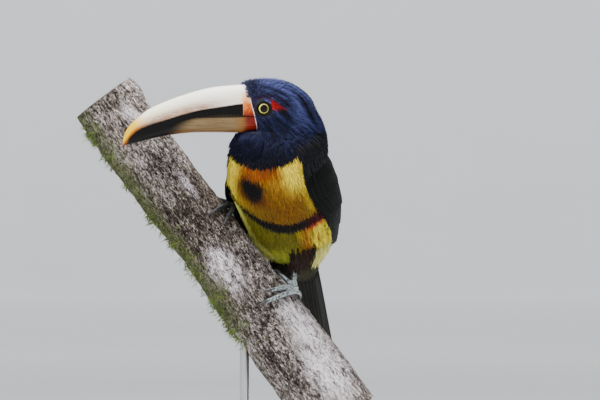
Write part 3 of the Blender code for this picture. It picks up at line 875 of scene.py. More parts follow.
def grow(name, spacing, root_seed, keep, material, slot, length, width, seed, way=lie, surface=on_skin,
         steps=5, stand=0.0, splay=9, ridge=0.32, least=1.0):
    """Grows a piece of locks. length, width and stand are millimetres or functions of place."""
    roots = scattered(spacing, root_seed, keep)
    rng, count = np.random.default_rng(seed), len(roots)

    def at_roots(value):
        return value(roots) if callable(value) else np.full(count, float(value))

    length = at_roots(length) * rng.uniform(0.82, 1.15, count)
    width = at_roots(width) * rng.uniform(0.85, 1.15, count)
    deep, stand = np.maximum(coat_depth(roots), least)[:, None], at_roots(stand)[:, None]
    turn = rng.normal(0, splay, count)
    high = rng.uniform(0.55, 1.0, count)
    place, normal = surface(roots)
    places, normals = [place], [normal]
    for _ in range(steps - 1):
        step = spread_out(way(place, normal), normal, turn)
        place, normal = surface(place + step * (length / (steps - 1) * MM)[:, None])
        places.append(place)
        normals.append(normal)
    share = np.linspace(0, 1, steps)
    base, up = np.stack(places, axis=1), np.stack(normals, axis=1)
    lift = -0.35 + (deep * high[:, None] + stand * share**2) * share**0.75
    centre = base + up * (lift * MM)[:, :, None]
    forward = unit(np.gradient(centre, axis=1))
    sideways = unit(np.cross(up, forward))
    taper = np.interp(share, [0, 0.3, 0.75, 1], [0.65, 1.0, 0.8, 0.0])
    half = (width[:, None] / 2 * taper * MM)[:, :, None]
    crest = ((ridge * np.minimum(width, 1.6))[:, None] * taper * MM)[:, :, None]
    points = blades(centre, sideways, np.cross(forward, sideways), half, crest)
    points = np.clip(points, vec(CAD_LOW) + 0.1 * MM, vec(CAD_HIGH) - 0.1 * MM)
    per = points.shape[1]
    on_blade = np.array([[x, t] for t in share[:-1] for x in (-1, 1, 0)] + [[0, 1]])
    chance = np.repeat(rng.random((count, 1)), per, axis=1)
    strand = np.concatenate([np.tile(on_blade, (count, 1, 1)), chance[:, :, None]], axis=2)
    made = add_piece(name, points.reshape(-1, 3), blade_faces(count, steps), material, slot)
    shown = base[:, [round(0.7 * (steps - 1))]]  # where the lock comes out from under the others
    set_attribute(made.data, "marked_place", np.repeat(shown, per, axis=1))
    set_attribute(made.data, "strand", strand)
    at = unwrapped(base[:, 0])[:, None] + (on_blade * (1, 2) - (0, 1)) * PATCH / 2
    set_map(made.data, at.reshape(-1, 2))


print("locks ready")

# %% [markdown]
# The plumage's finish is soft, so it is rough and has a little sheen. Its colour is the pattern
# where it shows, a bit darker towards the root, and lighter by chance from lock to lock. Bare skin
# shows only round the eyes, where it is black, and between locks, where it is darkened as painted
# shade of the gaps, and it has fine pores.


# %% plumage materials
def shaded_locks(look, colour, darkest, gain):
    """A colour that is darker towards each lock's root, and differs by chance from lock to lock."""
    _, along, chance = look.parts(look.attribute("strand"))
    shade = (along.rise(-0.1, 0.85) * gain + darkest) * (chance * 0.45 + 0.80)
    return look.finish(base_color=look.scaled(colour, shade))


def plumage(name, roughness):
    look = Look(name, roughness=roughness, specular_ior_level=0.08, sheen_weight=0.02, sheen_roughness=0.4)
    return shaded_locks(look, plumage_colour(look, look.attribute("marked_place")), 0.5875, 0.55)


def solid_colour(name, colour, other):
    """Plumage of two colours, by chance from lock to lock."""
    look = Look(name, roughness=0.62, specular_ior_level=0.12, sheen_weight=0.03, sheen_roughness=0.4)
    _, _, chance = look.parts(look.attribute("strand"))
    return shaded_locks(look, look.blend(chance, colour, other), 0.62, 0.5)


def bare_skin():
    look = Look("bare_skin", roughness=0.5, specular_ior_level=0.15)
    forward, _, up = head_axes(look)
    near_eye = ((forward + 9) ** 2 + up**2) ** 0.5
    around_eye = near_eye.rise(10.5, 8.5)
    colour = look.over(plumage_colour(look, look.place()), (around_eye, (0.0045, 0.0045, 0.006)))
    pores = look.node("ShaderNodeTexVoronoi", inputs={"Vector": look.place(), "Scale": 1900})
    # Painted shade: the skin is darker than the pattern, for the shade in the gaps between locks.
    colour = look.scaled(colour, 0.62 + pores * 0.1)
    return look.finish(base_color=colour, normal=look.bump(pores, 0.0003, 0.5))


HOOD_LOOK = plumage("hood_feathers", 0.52)
BREAST_LOOK = plumage("breast_feathers", 0.62)
THIGH_LOOK = solid_colour("thigh_feathers", CHESTNUT, (0.028, 0.014, 0.010))
TUFT_LOOK = solid_colour("flank_tuft", TUFT, (0.66, 0.62, 0.26))
# Painted shade: the vent's feathers are dark olive and black for the shade under the belly.
SHADED_VENT_LOOK = solid_colour("shaded_vent_feathers", VENT_SHADE, (0.035, 0.033, 0.011))
VENT_SHADOW_LOOK = solid_colour("vent_shadow_feathers", (0.010, 0.009, 0.006), (0.022, 0.019, 0.010))
# Painted sheen: some forehead bristles are navy instead of black, as on the hood.
FOREHEAD_LOOK = solid_colour("forehead_bristles", (0.006, 0.007, 0.014), (0.030, 0.036, 0.105))
SHOULDER_LOOK = solid_colour("shoulder_feathers", (0.0020, 0.0024, 0.0034), (0.0036, 0.0042, 0.0075))
RUMP_LOOK = solid_colour("rump_feathers", SCARLET, (0.22, 0.010, 0.008))
dress("skin", skin_mesh, bare_skin(), "breast_yellow", FLESH)
print("plumage looks ready")

# %% [markdown]
# ## The wings
# A folded wing is a stack of stiff vanes. Small round coverts lie on the shoulder like tiles, each
# row over the roots of the next, longer ones cover the roots of the flight feathers, and those run
# back to the wing's tip with only their outer edges showing. The wing's outer face is a curved
# sheet, so a place on it is given by how far it is along the body and by a share of the way round,
# and every vane is drawn on that sheet.

# %% the wing's sheet
# Along the body in millimetres, half width, half depth, and where the wing starts and ends round it.
WING_STATIONS = (
    (54, 38, 27, 74, 114), (40, 43.5, 37, 64, 142), (22, 46.5, 44, 57.5, 160),
    (4, 47.5, 46.5, 60.5, 167), (-14, 46, 46.5, 75, 171), (-30, 40.5, 44.5, 82, 172),
    (-44, 34.5, 41, 90, 172), (-52, 30.5, 37.5, 102, 170), (-58, 26.5, 33.5, 124, 168),
    (-63, 24.5, 31.5, 148, 163)
)
RIGHT_WING_OUT, RIGHT_WING_BACK = 5.5, 13


def wing_table(column):
    """One column of the stations as a smooth table, from the tip to the shoulder."""
    places = np.array(WING_STATIONS)[::-1]
    fine = np.linspace(places[0, 0] - 3, places[-1, 0] + 6, 240)
    padded = np.pad(np.interp(fine, places[:, 0], places[:, column]), 11, mode="edge")
    kernel = np.hanning(23)
    return fine, np.convolve(padded, kernel / kernel.sum(), mode="valid")


WING_TABLES = [wing_table(column) for column in range(1, 5)]


def wing_section(along):
    """A wing's half width, half depth, start and end at places along the body."""
    return [np.interp(along, *table) for table in WING_TABLES]


def wing_place(side, along, share, drop):
    """Points on a wing's outer face, or under it by drop, from arrays in millimetres."""
    width, depth, start, end = wing_section(along)
    if side < 0:
        width = width + RIGHT_WING_OUT * np.exp(-(((along - 14) / 14) ** 2))
        start = start + RIGHT_WING_BACK * smooth_step(along, 12, 30)
    turn = np.radians(start + (end - start) * share)
    across, back = (width - drop) * np.sin(turn) * side, -(depth - drop) * np.cos(turn)
    return laid_out(TRUNK, (along, ALONG), (across, SIDE), (back, BACK))


def laid_out(origin, *steps):
    """Points from an origin, by arrays of millimetres along some directions."""
    return vec(origin) + sum(far[..., None] * vec(way) for far, way in steps) * MM


def wing_round(along):
    """How long the wing's section is round the body, in millimetres."""
    width, depth, start, end = wing_section(along)
    return (width + depth) / 2 * np.radians(end - start)


print("wing:", round(float(wing_round(np.array(0.0)))), "mm round the body at its middle")

# %% [markdown]
# ## The coat of the head and the body
# The coat is grown in pieces, as a taxidermist names them. The head's locks are the finest, and the
# trunk's are longer and wider. Each piece has a rule that says where it grows, and some have
# another for how long their locks are or how far they stand.


# %% where the coats grow
def region(points):
    """Along the body, the angle round it, and the height over the floor."""
    along, side, back = body_coordinates(points)
    return along, np.degrees(np.arctan2(side, -back)), points[:, 2] / MM


def bare(points):
    """True where nothing grows: round the eyes and where the bill starts."""
    at_bill = (behind_rim(points) < 0.5) & (points[:, 2] > (BILL_BASE.z - 20.5 * MM))
    return ((eye_distance(points) < 6.9) & (points[:, 2] > 0.3)) | at_bill


def under_wing(points, margin=3.5):
    """True where a wing's vanes cover the skin."""
    along, angle, _ = region(points)
    moved = RIGHT_WING_BACK * smooth_step(along, 12, 30) * (angle < 0)
    edge = np.interp(along, *np.array(WING_EDGE).T) + moved
    end = wing_section(along)[3]
    return (abs(angle) > edge + margin) & (abs(angle) < end - margin) & (along < 47) & (along > -60)


def in_head(points):
    return (points[:, 2] / MM >= 306) & ~bare(points)


def in_neck(points):
    along, angle, height = region(points)
    throat = (abs(angle) < 60) & (along < 44)
    return (height < 306) & (height >= 268) & ~throat & ~bare(points) & ~under_wing(points)


def in_breast(points):
    along, angle, height = region(points)
    return (height < 276) & (along < 50) & (along > -12) & (abs(angle) < 76) & ~under_wing(points)


def in_belly(points):
    along, angle, _ = region(points)
    return (along <= -12) & (abs(angle) < 100) & ~under_wing(points)


def in_back(points):
    _, angle, height = region(points)
    return (height < 270) & (abs(angle) >= 100) & ~under_wing(points)


def head_length(points):
    return 2.6 + 4.4 * smooth_step(behind_rim(points), 1, 22) * smooth_step(eye_distance(points), 6, 16)


def back_length(points):
    """Long over the mantle and short over the rump, where the body ends."""
    return 10 - 6.5 * smooth_step(region(points)[0], -36, -50)


def crest_stand(points):
    """How far the head's feathers stand: most on the forehead, little on the cheeks."""
    forward, up = head_coordinates(points)
    nape = smooth_step(forward, -30, -44) * smooth_step(up, -40, -22) * smooth_step(up, 20, 8)
    forehead = smooth_step(up, 14, 22) * smooth_step(forward, -34, -8)
    return 0.5 + 2.6 * forehead + 0.8 * smooth_step(up, 0, 20) + 2.4 * nape


def belly_stand(points):
    """How far the belly's feathers stand: more where they fluff out against the perch."""
    along, angle, _ = region(points)
    return 1.2 + 2.6 * smooth_step(angle, -26, -46) * smooth_step(along, -8, -18)


print("places of the coats ready")

# %% coats
# Each coat: its name, the spacing and seed of its roots, where they are, its finish and slot, its
# locks' length and width, their seed, and what else is special.
for coat, special in (
    (("head", 0.92, 1, in_head, HOOD_LOOK, "hood_black", head_length, 0.85, 11),
     {"splay": 5, "ridge": 0.5, "stand": crest_stand}),
    (("neck", 1.15, 2, in_neck, HOOD_LOOK, "hood_black", 7.5, 1.1, 12), {"splay": 7, "ridge": 0.4}),
    (("breast", 1.1, 3, in_breast, BREAST_LOOK, "breast_yellow", 7.5, 0.95, 13), {"splay": 7}),
    (("belly", 1.2, 4, in_belly, BREAST_LOOK, "breast_yellow", 9, 1.1, 14),
     {"splay": 8, "stand": belly_stand}),
    (("back", 1.6, 5, in_back, HOOD_LOOK, "wing_black", back_length, 1.7, 15), {}),
):
    grow("coat_" + coat[0], *coat[1:], steps=4, **special)

# %% [markdown]
# Some feathers leave the body: the bristly tuft of the forehead, the dark ones of the thighs that
# hang over the shanks, a pale tuft below each wing's tip, and those over and under the tail's root.
# Those under it are dark olive and black as painted shade under the belly. They keep a way of their
# own and are only kept from sinking into the skin.

# %% where the loose feathers grow, and their ways
TAIL_WAY = heading(24, 65.5) * -1


def towards(*directions):
    """A way that is the same everywhere: the sum of these directions."""
    whole = unit(vec(sum((Vector(d) for d in directions), Vector())))
    return lambda points, normals: unit(whole + normals * 0.10)


def to_tail(points, normals):
    """The way to the middle of the tail's upper part, for the feathers that cover its root."""
    aim = vec(body_point(-50, 0, 0) + TAIL_WAY * 52 * MM)
    return unit(aim + np.outer((points - vec(TRUNK)) @ vec(SIDE) * 0.45, vec(SIDE)) - points)


def brushed_up(points, normals):
    """Forward over the bill's base, then up and back, as the wind leaves the bristles there."""
    forward, up = head_coordinates(points)
    lean = (smooth_step(forward, -5, 1) * 1.6 - 0.9 + 0.5 * smooth_step(up, 21, 16))[:, None]
    return unit(vec(HEAD_FORWARD) * lean + vec(UP) * 0.35 + normals * 0.35)


def patch_of(low_along, high_along, low_angle, high_angle):
    """The part of the skin between these places along the body and angles round it."""
    def keep(points):
        along, angle, _ = region(points)
        return (along > low_along) & (along < high_along) & (angle > low_angle) & (angle < high_angle)
    return keep


def at_rump(low_angle, high_angle):
    """The back's end between two angles, but not the wings' tips over it."""
    patch = patch_of(-75, -50, low_angle, high_angle)
    return lambda points: patch(points) & (np.hypot(*body_coordinates(points)[1:]) < 23)


def near_thigh(points):
    share, far = share_of_line(points, *THIGHS["left"])
    along, angle, _ = region(points)
    ragged = 1.6 * np.sin(angle * 0.9) + 1.1 * np.sin(angle * 2.3 + 1)
    return (far / MM < 9.0 - 4.5 * share + ragged) & (abs(angle) < 64) & (along < -37 + ragged * 1.5)


def near_right_shank(points):
    return np.linalg.norm(points - vec(THIGHS["right"][1]), axis=1) < 13 * MM


def at_chin(points):
    forward, up = head_coordinates(points)
    return (up < -19) & (up > -33) & (forward > -8)


def at_forehead(points):
    forward, up = head_coordinates(points)
    return (up > 9.5) & (forward > -9)


print("places of the loose feathers ready")

# %% loose feathers
# As the coats, but the way comes before what else is special.
AT_SHOULDER = {"left": patch_of(42, 60, 64, 152), "right": patch_of(42, 60, -152, -76)}
grow("coat_chin", 1.0, 12, at_chin, HOOD_LOOK, "hood_black", 9, 1.0, 22,
     towards(DOWN, HEAD_FORWARD * 0.45), loose, splay=7, steps=4, stand=0.6)
grow("coat_forehead", 0.9, 13, at_forehead, FOREHEAD_LOOK, "hood_black", 4.6, 0.7, 23,
     brushed_up, loose, splay=12)
for name, seed in (("left", 15), ("right", 13)):
    grow("coat_shoulder_" + name, 1.5, seed, AT_SHOULDER[name], SHOULDER_LOOK, "hood_black", 11, 1.5,
         seed + 10, splay=4, least=4.4)
for name, spacing, seed, keep, look, length, width, way, special in (
    ("thigh", 1.2, 6, near_thigh, THIGH_LOOK, 8, 1.1,
     towards(DOWN, FRONT * 0.15, (-0.25, 0, 0)), {"splay": 10}),
    ("thigh_right", 1.2, 26, near_right_shank, THIGH_LOOK, 10, 1.1,
     towards(UP * -0.4, (-1, 0, 0.25)), {"splay": 12}),
    ("flank_left", 1.2, 7, patch_of(-52, -37, 62, 96), TUFT_LOOK, 10.5, 1.0,
     towards(DOWN, (-0.75, 0, 0), TAIL_WAY * 0.3), {"stand": 0.8}),
    ("flank_right", 1.3, 8, patch_of(-53, -37, -98, -66), TUFT_LOOK, 12, 1.2,
     towards(DOWN, TAIL_WAY), {"splay": 8, "stand": 0.8}),
    # Painted shade: the vent's locks are dark for the shade under the belly and the tail's root.
    ("vent", 1.3, 9, patch_of(-75, -50, -70, 60), SHADED_VENT_LOOK, 14, 1.3, to_tail, {"splay": 10}),
    ("vent_front", 1.3, 27, patch_of(-64, -48, -60, 4), VENT_SHADOW_LOOK, 10, 1.2,
     towards(DOWN, (-0.5, 0, 0)), {}),
    ("rump", 1.1, 10, at_rump(140, 180), RUMP_LOOK, 13, 1.6, to_tail, {"splay": 6, "least": 1.6}),
    ("rump_right", 1.1, 11, at_rump(-180, -130), RUMP_LOOK, 13, 1.6, to_tail, {"splay": 6, "least": 1.6}),
):
    grow("coat_" + name, spacing, seed, keep, look, "breast_yellow", length, width, seed + 10,
         way, loose, **special)

# %% [markdown]
# A vane is a closed plate: a stiff shaft down its middle, two thin webs, a rounded tip. It takes
# rows of points from any sheet, so the wings and the tail share it. Its edges are thinner than its
# middle, and fine waves along them stand for the places where barbs part.


# %% vanes
def vane_outline(share, round_tip=0.14, root=0.45):
    """The half width of a vane along it, as a share of its greatest."""
    body = root + (1 - root) * smooth_step(share, 0, 0.3)
    tip = np.sqrt(np.clip(1 - (np.clip(share - (1 - round_tip), 0, None) / round_tip) ** 2, 0, 1))
    return body * np.maximum(tip, 0.04)


def vane_faces(rows, columns):
    """The faces of a closed plate whose points are one grid, and then the grid under it."""
    under = rows * columns
    faces = []
    for row in range(rows - 1):
        for column in range(columns - 1):
            a = row * columns + column
            top = (a, a + 1, a + columns + 1, a + columns)
            faces += [top, tuple(v + under for v in top[::-1])]
        for a, flip in ((row * columns, 1), ((row + 1) * columns - 1, -1)):
            faces.append((a, a + columns, a + columns + under, a + under)[::flip])
    for row, flip in ((0, -1), (rows - 1, 1)):
        for a in range(row * columns, row * columns + columns - 1):
            faces.append((a, a + 1, a + 1 + under, a + under)[::flip])
    return faces


class Vanes:
    """A set of vanes that becomes one piece."""

    def __init__(self, name, seed):
        self.name, self.rng = name, np.random.default_rng(seed)
        self.points, self.faces, self.strands, self.marked, self.patches = [], [], [], [], []

    def add(self, sheet, patch, rows, columns=7, thickness=0.34, shaft=0.28):
        """sheet(share along, -1..1 across, drop) gives points. patch is the map's place and size."""
        along, across = np.meshgrid(np.linspace(0, 1, rows), np.linspace(-1, 1, columns), indexing="ij")
        thin = thickness * (1 - 0.55 * np.abs(across) ** 2)
        rib = shaft * np.exp(-((across / 0.09) ** 2)) * (1 - 0.6 * along)
        points = np.concatenate([sheet(along, across, drop).reshape(-1, 3) for drop in (-rib, thin)])
        start = sum(len(p) for p in self.points)
        self.points.append(points)
        self.faces += [tuple(start + v for v in face) for face in vane_faces(rows, columns)]
        strand = np.stack([across, along, np.full(along.shape, self.rng.random())], axis=-1).reshape(-1, 3)
        self.strands += [strand, strand]
        middle = sheet(np.array([[0.5]]), np.array([[0.0]]), 0.0).reshape(3)
        self.marked.append(np.tile(middle, (len(points), 1)))
        (x, y), (wide, tall) = patch
        spot = np.stack([x + across * 0.5 * wide, y + (along - 0.5) * tall], axis=-1).reshape(-1, 2)
        self.patches += [spot, spot]

    def piece(self, material, replaces=()):
        points = np.concatenate(self.points)
        mesh = add_piece(self.name, points, self.faces, material, "wing_black", replaces).data
        set_attribute(mesh, "strand", np.concatenate(self.strands))
        set_attribute(mesh, "marked_place", np.concatenate(self.marked))
        set_map(mesh, np.concatenate(self.patches))
        mesh.set_sharp_from_angle(angle=math.radians(60))


def vane_look(name, roughness, gloss, barbs, barb_shade, colour, edge, edge_mask, tip, shaft):
    """Vanes: dark, a paler edge, a paler shaft, and the fine lines of the barbs."""
    look = Look(name, roughness=roughness, specular_ior_level=gloss)
    across, along, chance = look.parts(look.attribute("strand"))
    aside = abs(across)
    space = look.vector(across * 0.5, along * barbs - aside * 0.35, chance)
    bands = {"wave_type": "BANDS", "bands_direction": "Y"}
    barb = look.node("ShaderNodeTexWave", bands, {"Vector": space, "Scale": 22.0, "Distortion": 0.6})
    low, share = edge_mask
    colour = look.over(colour, (aside.rise(low, 1.0) * share, edge))
    if tip:
        colour = look.over(colour, (along.rise(0.88, 1.0) * 0.7, tip))
    colour = look.over(colour, (aside.rise(0.10, 0.04), shaft))
    shade = (chance * 0.5 + 0.75) * (barb * barb_shade + 0.85)
    return look.finish(base_color=look.scaled(colour, shade), normal=look.bump(barb, 0.0002, 0.35))


print("vanes ready")

# %% [markdown]
# The rows, from the shoulder to the tip: lesser coverts, median coverts, greater coverts, then the
# secondaries with the broad tertials over them, and below those the primaries, whose tips make the
# wing's point.

# %% wing rows
# Each row: how many, root and tip along the body, shares round it from first to last, half width
# in millimetres, and how deep root and tip lie under the wing's outer face. The first four fly.
WING_ROWS = {
    "primaries": (10, (8, -47), (-49, -65), (0.06, 0.40), (0.09, 0.58), 5.0, 1.9, 0.9),
    "inner_primaries": (5, (-18, -59), (-32, -59), (0.40, 0.66), (0.50, 0.84), 5.4, 1.8, 0.85),
    "secondaries": (10, (2, -24), (-4, -53), (0.06, 0.76), (0.10, 0.82), 5.4, 1.7, 0.75),
    "tertials": (4, (8, -26), (8, -46), (0.66, 0.88), (0.62, 0.86), 7.4, 1.5, 0.45),
    "greater_coverts": (13, (17, -13), (15, -17), (0.05, 0.88), (0.07, 0.88), 4.6, 1.2, 0.3),
    "median_coverts": (13, (31, 7), (29, 5), (0.04, 0.84), (0.05, 0.86), 4.4, 0.9, 0.15),
    "lesser_coverts_1": (13, (40, 20), (38, 19), (0.04, 0.84), (0.05, 0.86), 4.0, 0.8, 0.1),
    "lesser_coverts_2": (12, (48, 31), (46, 30), (0.04, 0.86), (0.05, 0.86), 3.9, 0.8, 0.1),
    "lesser_coverts_3": (9, (55, 41), (53, 40), (0.04, 0.92), (0.05, 0.88), 3.8, 0.9, 0.15),
}
FLIGHT_ROWS, MOST_IN_ROW = 4, 14
OVERLAP_TILT = 0.95


def wing_vane(side, row, ends, way, wave, flight):
    """The sheet of one vane, that lies at a share of the way along its row."""
    roots, tips, half, root_drop, tip_drop = row[3:]
    from_share, to_share = between(roots, way), between(tips, way)

    def sheet(along, across, drop):
        outline = vane_outline(along, 0.12 if flight else 0.34) * (1 + 0.05 * np.sin(along * 40 + wave))
        place = between(ends, along)
        web = across * outline * half
        share = between((from_share, to_share), along) + web / np.maximum(wing_round(place), 8)
        lie_drop = between((root_drop, tip_drop), along**0.8)
        tilt = -across * OVERLAP_TILT * 0.5 * (0.4 + 0.6 * along)
        return wing_place(side, place, share, np.maximum(lie_drop + tilt + 0.35 * across**2 + drop, 0.0))
    return sheet


def make_wing(side, name, seed, look):
    vanes = Vanes(name, seed)
    for number, row in enumerate(WING_ROWS.values()):
        count, first, last = row[:3]
        flight = number < FLIGHT_ROWS
        for k in range(count):
            way = k / (count - 1)
            ends = [between((first[i], last[i]), way) + vanes.rng.uniform(-0.7, 0.7) for i in (0, 1)]
            spot = (0.03 + 0.94 * (k + 0.5) / MOST_IN_ROW, 0.04 + 0.92 * (number + 0.5) / len(WING_ROWS))
            sheet = wing_vane(side, row, ends, way, k, flight)
            vanes.add(sheet, (spot, (0.05, 0.095)), rows=20 if flight else 11)
    vanes.piece(look)


WING_LOOK = vane_look(
    "wing_vanes", 0.55, 0.05, 3.0, 0.25, colour=(0.0022, 0.0027, 0.0027), edge=(0.0058, 0.0068, 0.0066),
    edge_mask=(0.78, 0.8), tip=(0.0060, 0.0070, 0.0066), shaft=(0.012, 0.010, 0.009)
)
make_wing(1, "coat_wing_left", 21, WING_LOOK)
make_wing(-1, "coat_wing_right", 22, WING_LOOK)

# %% [markdown]
# ## The tail
# The tail is long and stepped: ten feathers in five pairs, the middle pair longest and on top. It
# hangs closed behind the perch. Its roots are covered by the scarlet rump above and, below, by
# the vent's feathers, painted dark as the shade under the belly.

# %% tail
TAIL_ROOT = body_point(-50, 0, 0)
TAIL_BACK = SIDE.cross(TAIL_WAY)
TAIL_LENGTH, TAIL_HALF_WIDTH, VANE_HALF_WIDTH = 166, 17, 4.6
COVERED = 14  # millimetres at the root that other feathers hide
VANES_TO_EDGE = 4.6  # how many places for vanes lie between the tail's middle and its edge


def tail_vane(feather, side):
    """The sheet of one tail feather: 0 is the middle pair, 4 the outermost."""
    middle = side * feather / VANES_TO_EDGE * TAIL_HALF_WIDTH
    length = TAIL_LENGTH - feather**1.6 * 5.2 - 0.5
    layer, apart = 1.0 - 0.42 * feather, side * 0.25 * (feather == 0)

    def sheet(along, across, drop):
        far = COVERED + (length - COVERED) * along
        outline = vane_outline(along, 0.06, 0.7) * (1 + 0.02 * np.sin(along * 60 + feather))
        web = (across - 0.22 * side * (across * side > 0)) * outline * VANE_HALF_WIDTH
        place = np.clip(middle * (0.95 + 0.05 * along) + web + apart, -TAIL_HALF_WIDTH, TAIL_HALF_WIDTH)
        lift = np.clip(layer - 0.25 * across * side - drop - 0.12 * across**2, -1.3, 1.4) * (1 - 0.4 * along)
        camber = -3.5 * (place / TAIL_HALF_WIDTH) ** 2 + lift
        return laid_out(TAIL_ROOT, (far, TAIL_WAY), (place, SIDE), (camber, TAIL_BACK))
    return sheet


tail = Vanes("coat_tail", 31)
for feather in (4, 3, 2, 1, 0):
    for side in (1, -1):
        patch = ((0.03 + 0.94 * (feather * 2 + (side > 0) + 0.5) / 10, 0.5), (0.07, 0.9))
        tail.add(tail_vane(feather, side), patch, rows=44, columns=9, thickness=0.36, shaft=0.3)
tail.piece(vane_look(
    "tail_vanes", 0.45, 0.22, 11.0, 0.3, colour=(0.0085, 0.0100, 0.0070), edge=(0.040, 0.038, 0.022),
    edge_mask=(0.7, 1.0), tip=None, shaft=(0.02, 0.017, 0.012)
), ["tail"])

# %% [markdown]
# ## The bill
# The bill is two closed horns. Seen from the side it has three lines: the culmen on top, the
# cutting edge in the middle and the keel below. Each half is lofted from arches that span those
# lines, and a thin pale welt runs round the base where horn meets skin. Both halves replace the
# frame's plainer ones.

# %% the bill's lines
# Forward and up from the middle of the bill's base, in millimetres.
CULMEN = (
    (5.7, 21.2), (17.8, 20.3), (35.3, 18.2), (52.8, 13.5), (70.3, 7.5), (86, 0.6), (97, -7.5),
    (105.3, -15.8), (109.2, -24), (109.9, -31)
)
CUTTING_EDGE = (
    (-1.6, -6), (11.7, -5.1), (25, -4.5), (38, -6), (55, -9), (72, -14.3), (88, -21), (97.5, -24.9),
    (105.8, -28.4), (108.2, -31)
)
KEEL = (
    (-5.2, -19.3), (9.7, -19.4), (27, -19.4), (44, -19.4), (57, -20.1), (70, -21.8), (82, -24.1),
    (92, -26.4), (99.5, -28.4), (104, -29.4)
)
BILL_TIP = (108.6, -36.6)
BILL_HALF_WIDTH = 13.5
BILL_RINGS, BILL_SEGMENTS = 120, 40
TOOTHED_LENGTH, TOOTH_DEPTH, TOOTH_PITCH = 112, 0.22, 3.1
LOWER_ENDS = 0.975  # the lower half stops at this share, inside the hook


def smooth_curve(points, count):
    """count points on a Catmull-Rom curve through points."""
    points = [Vector(p) for p in points]
    ends = [2 * points[0] - points[1], *points, 2 * points[-1] - points[-2]]
    curve = []
    for k in range(count):
        place = k / (count - 1) * (len(points) - 1)
        i = min(int(place), len(points) - 2)
        t = place - i
        a, b, c, d = ends[i : i + 4]
        square, cube = 2 * a - 5 * b + 4 * c - d, 3 * b - a - 3 * c + d
        curve.append(0.5 * (2 * b + (c - a) * t + square * t**2 + cube * t**3))
    return curve


def bill_point(forward, up):
    return BILL_BASE + (HEAD_FORWARD * forward + UP * up) * MM


def arch(edge, crest, width, squareness):
    """From one side of the cutting edge over the crest to the other side."""
    ring = []
    for i in range(BILL_SEGMENTS + 1):
        turn = math.pi * i / BILL_SEGMENTS
        across = math.copysign(abs(math.cos(turn)) ** squareness, math.cos(turn)) * width
        ring.append(edge.lerp(crest, math.sin(turn) ** 0.85) + HEAD_LEFT * across)
    return ring


def loft(rings, first=None, last=None):
    """Points and faces of a closed skin over rings. An end is a flat cap, or runs to a pole."""
    size = len(rings[0])
    points = [p for ring in rings for p in ring]
    faces = []
    for row in range(0, (len(rings) - 1) * size, size):
        for i in range(size):
            j = (i + 1) % size
            faces.append((row + i, row + j, row + size + j, row + size + i))
    for start, pole, way in ((0, first, -1), ((len(rings) - 1) * size, last, 1)):
        loop = list(range(start, start + size))
        if pole is None:
            faces.append(tuple(loop[::way]))
            continue
        points.append(pole)
        for i in range(size):
            faces.append((*(loop[i], loop[(i + 1) % size])[::way], len(points) - 1))
    return points, faces


def add_loft(name, *parts):
    """A piece whose faces all look outwards."""
    mesh = add_piece(name, *parts).data
    bm = bmesh.new()
    bm.from_mesh(mesh)
    bmesh.ops.recalc_face_normals(bm, faces=bm.faces)
    bm.to_mesh(mesh)
    bm.free()
    return mesh


def bill_rings():
    lines = (smooth_curve([(*p, 0) for p in line], BILL_RINGS) for line in (CULMEN, CUTTING_EDGE, KEEL))
    upper, lower = [], []
    for i, places in enumerate(zip(*lines)):
        culmen, edge, keel = (bill_point(p.x, p.y) for p in places)
        share = i / (BILL_RINGS - 1)
        width = (BILL_HALF_WIDTH * (1 - share**2.3) ** 0.75 * (1 - 0.12 * share) + 0.6) * MM
        wave = abs(math.sin(math.pi * share * TOOTHED_LENGTH / TOOTH_PITCH))
        tooth = wave * TOOTH_DEPTH * min(1, share * 6) * MM
        upper.append(arch(edge + UP * tooth, culmen, width, 0.8))
        if share < LOWER_ENDS:
            lower.append(arch(edge + UP * 0.15 * MM, keel - UP * 0.3 * MM, width * 0.93, 0.7))
    return upper, lower


print("cutting edge:", round(TOOTHED_LENGTH / TOOTH_PITCH), "teeth")

# %% [markdown]
# The horn's colours are bands along the bill: ivory on top that warms downwards and turns orange
# yellow at the hook, a black stripe over the cutting edge, and orange and red at the base. Below,
# the pale horn is painted tan, as it looks in shade, with a black end. The stripe's upper edge is a
# polynomial through a few measured places. Fine growth lines along the horn catch the light.

# %% horn materials
STRIPE_TOP = (
    (8, 4.7), (16.2, 4.1), (24.8, 2.3), (37.9, 0.6), (46.5, -1.0), (55.1, -3), (63.7, -5.6),
    (72.3, -8.2), (80.8, -11.1), (89.3, -13.8), (97.7, -17.5), (103.4, -23.1), (108, -29)
)
IVORY = (0.93, 0.90, 0.80)
WARM_IVORY = (0.60, 0.41, 0.28)
HOOK_YELLOW = (0.70, 0.44, 0.0)
HOOK_ORANGE = (0.52, 0.15, 0.0)
BASE_ORANGE = (0.42, 0.062, 0.006)
BASE_RED = (0.16, 0.010, 0.006)
SHADED_TAN = (0.135, 0.086, 0.036)
HORN_BLACK = (0.004, 0.0035, 0.0035)


def horn(name, roughness):
    """A bill half's material, its axes, and fine streaks along the horn."""
    look = Look(name, roughness=roughness, specular_ior_level=0.12)
    forward, left, up = head_axes(look)
    return look, forward, left, up, look.grain(forward * 0.05, left * 1.4, up * 1.4, detail=4.0)


def finished_horn(look, colour, shade, streak):
    return look.finish(base_color=look.scaled(colour, shade), normal=look.bump(streak, 0.0004, 0.3))


